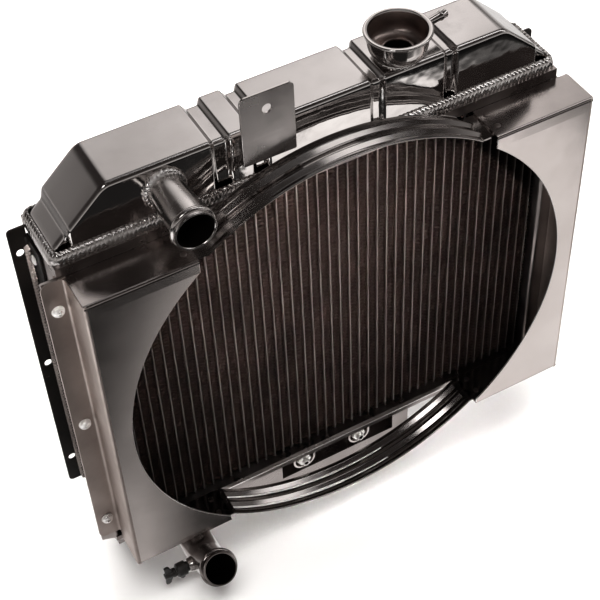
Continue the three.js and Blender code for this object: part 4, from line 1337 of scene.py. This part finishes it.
def camera():
    """Stands left of the shroud and looks down on it at about 47 degrees."""
    data = bpy.data.cameras.new("camera")
    data.lens = 87.7
    data.sensor_width = 36
    data.clip_start, data.clip_end = 0.05, 60
    item = bpy.data.objects.new("camera", data)
    bpy.context.scene.collection.objects.link(item)
    forward = Vector((0.30343, 0.60518, -0.73600)).normalized()
    right = Vector((0.87449, -0.48363, -0.03714)).normalized()
    up = right.cross(forward).normalized()
    turn = Matrix((right, up, -forward)).transposed().to_4x4()
    place = ORIGIN + Vector((-502.48, -875.60, 1376.02)) * MM
    item.matrix_world = Matrix.Translation(place) @ turn
    bpy.context.scene.camera = item


floor()
world()
camera()

# Cards that lie on the floor, a little above each other. Sizes and grades are in metres.
card("studio_floor_card", (0, 0, cad_low.z + 0.0002), None, (13, 13), 1,
     [((0.35, 1), [(-0.50, 0.03), (-0.40, 0.07), (-0.32, 0.25), (-0.20, 0.5), (-0.08, 0.9)]),
      ((1, 0), [(-1.6, 0.3), (-0.7, 1)])])
card("studio_right_floor_card", (3.325, 0, cad_low.z + 0.0003), None, (6.35, 13), 1.7,
     [((0, 1), [(-0.70, 0.06), (-0.61, 0.16), (-0.57, 0.8), (-0.46, 0.5)]),
      ((1, -1), [(-2.29, 1), (-2.18, 0.12), (0, 0.12)])])
# Painted shadow: a dim patch that reflections see as the floor's shadow near the outlet.
card("studio_floor_shadow_card", (-0.15, -0.12, cad_low.z + 0.0005), None, (0.18, 0.13), 1,
     [((1, 0.6), [(-0.10, 0.5), (-0.02, 0.03), (0.1, 0.03)])])
card("studio_left_floor_card", (-1.0, -0.45, cad_low.z + 0.0004), None, (0.9, 0.8), 1.6)

# Cards in the air.
card("studio_back_card", (1.08, 2.03, 2.4), (0, 0, 0.5), (3.2, 1.8), 1.8,
     [((1, 0), [(-1.6, 0.22), (0.45, 0.85), (0.72, 0.38), (1.6, 0.3)])])
card("studio_side_card", (1.35, -0.40, 2.05), (0, 0, 0.4), (0.42, 2.4), 2.2)
card("studio_top_card", (0.1, 0.35, 3.0), (0.1, 0.35, 0), (1.5, 1.5), 0.32)
card("studio_key_card", (-1.1, -1.0, 2.2), (0, 0, 0.4), (0.5, 0.5), 6)

softbox("overhead", (-0.2, -0.2, 3.2), (0, 0, 0.2), (2.6, 2.6), 125)
softbox("left_light", (-2.0, -0.8, 1.3), (-0.2, 0, 0.2), (0.8, 1.5), 7)
softbox("right_light", (2.0, -1.4, 1.6), (0.1, 0, 0.1), (1.0, 1.4), 5)
softbox("back_light", (0.7, 2.1, 1.5), (0, 0.05, 0.25), (1.4, 1.2), 45)
softbox("core_light", (-0.2, -1.15, 1.55), (0.0, 0.02, 0.46), (0.3, 0.3), 3.6, spread=19)
bpy.context.scene.view_settings.view_transform = "Standard"
bpy.context.scene.view_settings.look = "Medium High Contrast"
